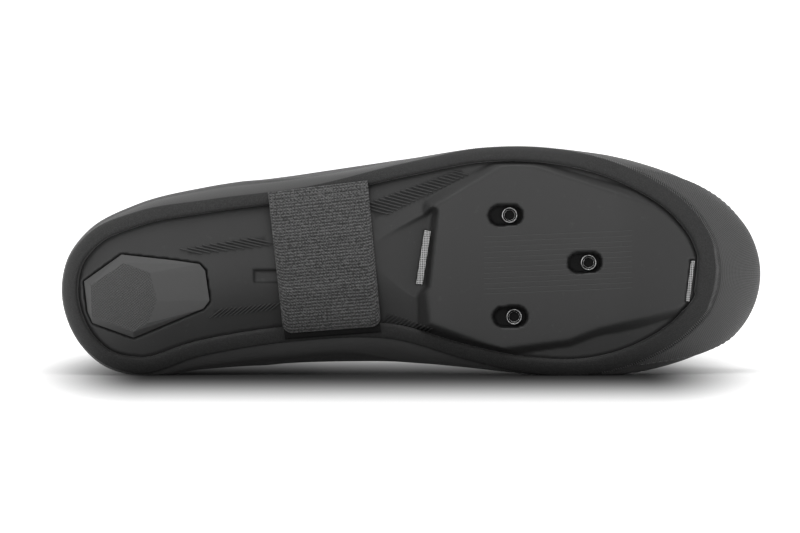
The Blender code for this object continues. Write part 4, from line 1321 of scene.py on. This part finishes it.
# %% Footbed
def make_footbed_cloth():
    material, shader, spot, cloth = new_material("footbed_cloth", sheen=0.2, specular=0.2)
    x, y, z = spot.parts()
    weave = (x * 4200.0).sin() * (z * 4200.0).sin()
    fibre = spot.noise(1800.0, 3.0)
    dress(shader, (fibre * 0.6 + weave * 0.2).colours(grey(0.018), grey(0.05)),
          0.8 + 0.15 * fibre,
          weave * 0.0001 + fibre * 0.0001, 0.9)
    return material


footbed = bevelled_copy("footbed", "insole", make_footbed_cloth(), 0.8 * MM, 2, 40)

# %% [markdown]
# ## Stitches
# Thread shows on the toe seam, across the band's outer edge, along the strap's sewn end
# and round the collar's hem. One small squashed ball is one stitch.


# %% Thread and stitches
def make_thread():
    material, shader, spot, cloth = new_material("thread", sheen=0.1, specular=0.4)
    twist = spot.noise(3500.0, 2.0)
    dress(shader, twist.colours(grey(0.10), grey(0.20)), 0.5 + 0.2 * twist, twist * 0.00008, 0.8)
    return material


thread = make_thread()


def add_stitch(bm, a, b, up, width=0.34 * MM):
    shape, _ = frame_between(a, b, up, (0.56, width / 2, width * 0.4))
    made = bmesh.ops.create_icosphere(bm, subdivisions=1, radius=1.0)
    bmesh.ops.transform(bm, matrix=Matrix.Translation((a + b) / 2) @ shape,
                        verts=made["verts"])


def skin_up(k, row):
    j = min(int(round(row)), ROWS)
    return Vector(skin_normal[int(round(k)) % COLUMNS, j])


def make_skin_stitches():
    bm = bmesh.new()
    count = 0
    first = 26.5 * FINE
    last = 53 * FINE
    steps = int((last - first) / 0.42)
    for i in range(steps):
        k = first + (last - first) * i / steps
        inner = on_skin(k, RIM_ROWS - 1.3, SEAM_GAP + RIM_THICK)
        outer = on_skin(k + 0.22, RIM_ROWS + 0.55, SEAM_GAP + RIM_THICK * 0.85)
        add_stitch(bm, inner, outer, skin_up(k, RIM_ROWS), 0.3 * MM)
        count += 1
    for i in range(int((CAP_END - CAP_START - 2) / 1.1)):
        k = CAP_START + 1 + i * 1.1
        row = cap_top(k) - 1.3
        if row < RIM_ROWS + 1:
            continue
        nxt = cap_top(k + 0.7) - 1.3
        lift = SEAM_GAP + CAP_THICK
        add_stitch(bm, on_skin(k, row, lift), on_skin(k + 0.7, nxt, lift), skin_up(k, row))
        count += 1
    for i in range(COLUMNS):
        step = min(i, COLUMNS - i)
        if step >= THROAT_COLUMN:
            continue
        row = ROWS - 8.6
        add_stitch(bm, on_skin(i, row, 0.1 * MM), on_skin(i + 0.62, row, 0.1 * MM),
                   skin_up(i, row))
        count += 1
    print("stitches on the skin:", count)
    return finish_piece("skin_stitches", bm, thread)


skin_stitches = make_skin_stitches()


# %% Strap stitches
def make_strap_stitches():
    bm = bmesh.new()
    up = Vector((0, 0, -1))

    def top_of(u, v):
        spot, _ = strap_point(u, v, 0.0, -STRAP_THICK - 0.02 * MM, False)
        return spot

    for v in (0.036, 0.076):
        for i in range(24):
            u = 0.03 + 0.94 * i / 24
            add_stitch(bm, top_of(u, v), top_of(u + 0.024, v), up, 0.42 * MM)
    for u in (0.03, 0.97):
        for i in range(3):
            v = 0.036 + 0.013 * i
            add_stitch(bm, top_of(u, v), top_of(u, v + 0.009), up, 0.42 * MM)
    return finish_piece("strap_stitches", bm, thread)


strap_stitches = make_strap_stitches()

# %% [markdown]
# ## Floor, light and camera
# A pale floor, broad lights above and in front, and a long lens at the photograph's
# angle: straight at the sole, which leans back a few degrees. The floor isn't plain: the
# dark shade under the shoe is coloured into it, and the floor and the wall glow.


# %% Floor and backdrop
SHADOW_MIDDLE = (-0.0057, -0.072)
SHADOW_DEPTH = 0.210
SHADOW_HALF = 0.100
SHADOW_END = 0.043


def stage_sheet(name, size, turn, shift, material):
    bm = bmesh.new()
    bmesh.ops.create_grid(bm, x_segments=1, y_segments=1, size=size)
    bmesh.ops.rotate(bm, matrix=Matrix.Rotation(turn, 3, "X"), verts=bm.verts[:])
    bmesh.ops.translate(bm, vec=shift, verts=bm.verts[:])
    mesh = bpy.data.meshes.new(name)
    bm.to_mesh(mesh)
    bm.free()
    sheet = bpy.data.objects.new(name, mesh)
    bpy.context.scene.collection.objects.link(sheet)
    sheet.data.materials.append(material)
    return sheet


def make_wall():
    """White paper far behind, where the floor ends."""
    material, shader, spot, cloth = new_material("wall_paper", specular=0.1)
    shader.inputs["Base Color"].default_value = (0.9, 0.9, 0.9, 1)
    shader.inputs["Emission Color"].default_value = (1, 1, 1, 1)
    shader.inputs["Emission Strength"].default_value = 1.0
    return stage_sheet("paper_wall", 8.0, math.pi / 2, (0, 14.0, 8.0), material)


def make_floor():
    material, shader, spot, cloth = new_material("floor_paper", specular=0.1)
    shader.inputs["Roughness"].default_value = 0.85
    x, y, z = spot.parts()
    ahead = (y - SHADOW_MIDDLE[1]) / SHADOW_DEPTH
    ends = x.maths("ABSOLUTE", x - SHADOW_MIDDLE[0])
    ends = x.maths("MAXIMUM", ends - SHADOW_HALF, 0.0) / SHADOW_END
    shade = x.maths("EXPONENT", (ahead * ahead + ends * ends) * -1.0)
    plug(shader, "Base Color", shade.colours(grey(0.90), grey(0.03)))
    plug(shader, "Emission Color", shade.colours(grey(1.0), grey(0.0)))
    shader.inputs["Emission Strength"].default_value = 0.8
    return stage_sheet("floor", 30.0, 0.0, (0, 0, 0), material)


wall = make_wall()
floor = make_floor()


# %% Lights
def add_light(name, where, target, size, power, size_y=None):
    data = bpy.data.lights.new(name, "AREA")
    data.shape = "RECTANGLE"
    data.size = size
    data.size_y = size_y or size
    data.energy = power
    lamp = bpy.data.objects.new(name, data)
    lamp.location = where
    aim = Vector(target) - Vector(where)
    lamp.rotation_euler = aim.to_track_quat("-Z", "Y").to_euler()
    bpy.context.scene.collection.objects.link(lamp)
    return lamp


add_light("top_box", (-0.1, -0.35, 1.1), (0, -0.05, 0.04), 1.0, 6.8, 0.5)
add_light("front_box", (-0.3, -2.2, 0.35), (0, 0, 0.03), 1.2, 8.8, 0.7)
world = bpy.data.worlds.new("studio")
bpy.context.scene.world = world
world.use_nodes = True
world.node_tree.nodes["Background"].inputs["Color"].default_value = (1, 1, 1, 1)
world.node_tree.nodes["Background"].inputs["Strength"].default_value = 0.35
bpy.context.scene.view_settings.view_transform = "Standard"

# %% Camera
PIXELS_PER_METRE = 2470.0
LENS = 600.0
SENSOR = 36.0
CENTRE = LAY @ place((400 - 58) / PIXELS_PER_METRE / LENGTH,
                     (268 - 266.5) / PIXELS_PER_METRE / BALL_WIDTH, 4 * MM)
LOOK = (LAY.to_3x3() @ Vector((0, 0, 1))).normalized()
DISTANCE = (800 / PIXELS_PER_METRE) * LENS / SENSOR
lens = bpy.data.cameras.new("camera")
lens.lens = LENS
lens.sensor_width = SENSOR
lens.clip_start = 0.5
lens.clip_end = 200.0
camera = bpy.data.objects.new("camera", lens)
camera.location = CENTRE - LOOK * DISTANCE
camera.rotation_euler = LOOK.to_track_quat("-Z", "Y").to_euler()
bpy.context.scene.collection.objects.link(camera)
bpy.context.scene.camera = camera
print("camera stands", round(DISTANCE, 2), "m away, at a height of",
      round(camera.location.z, 3), "m")
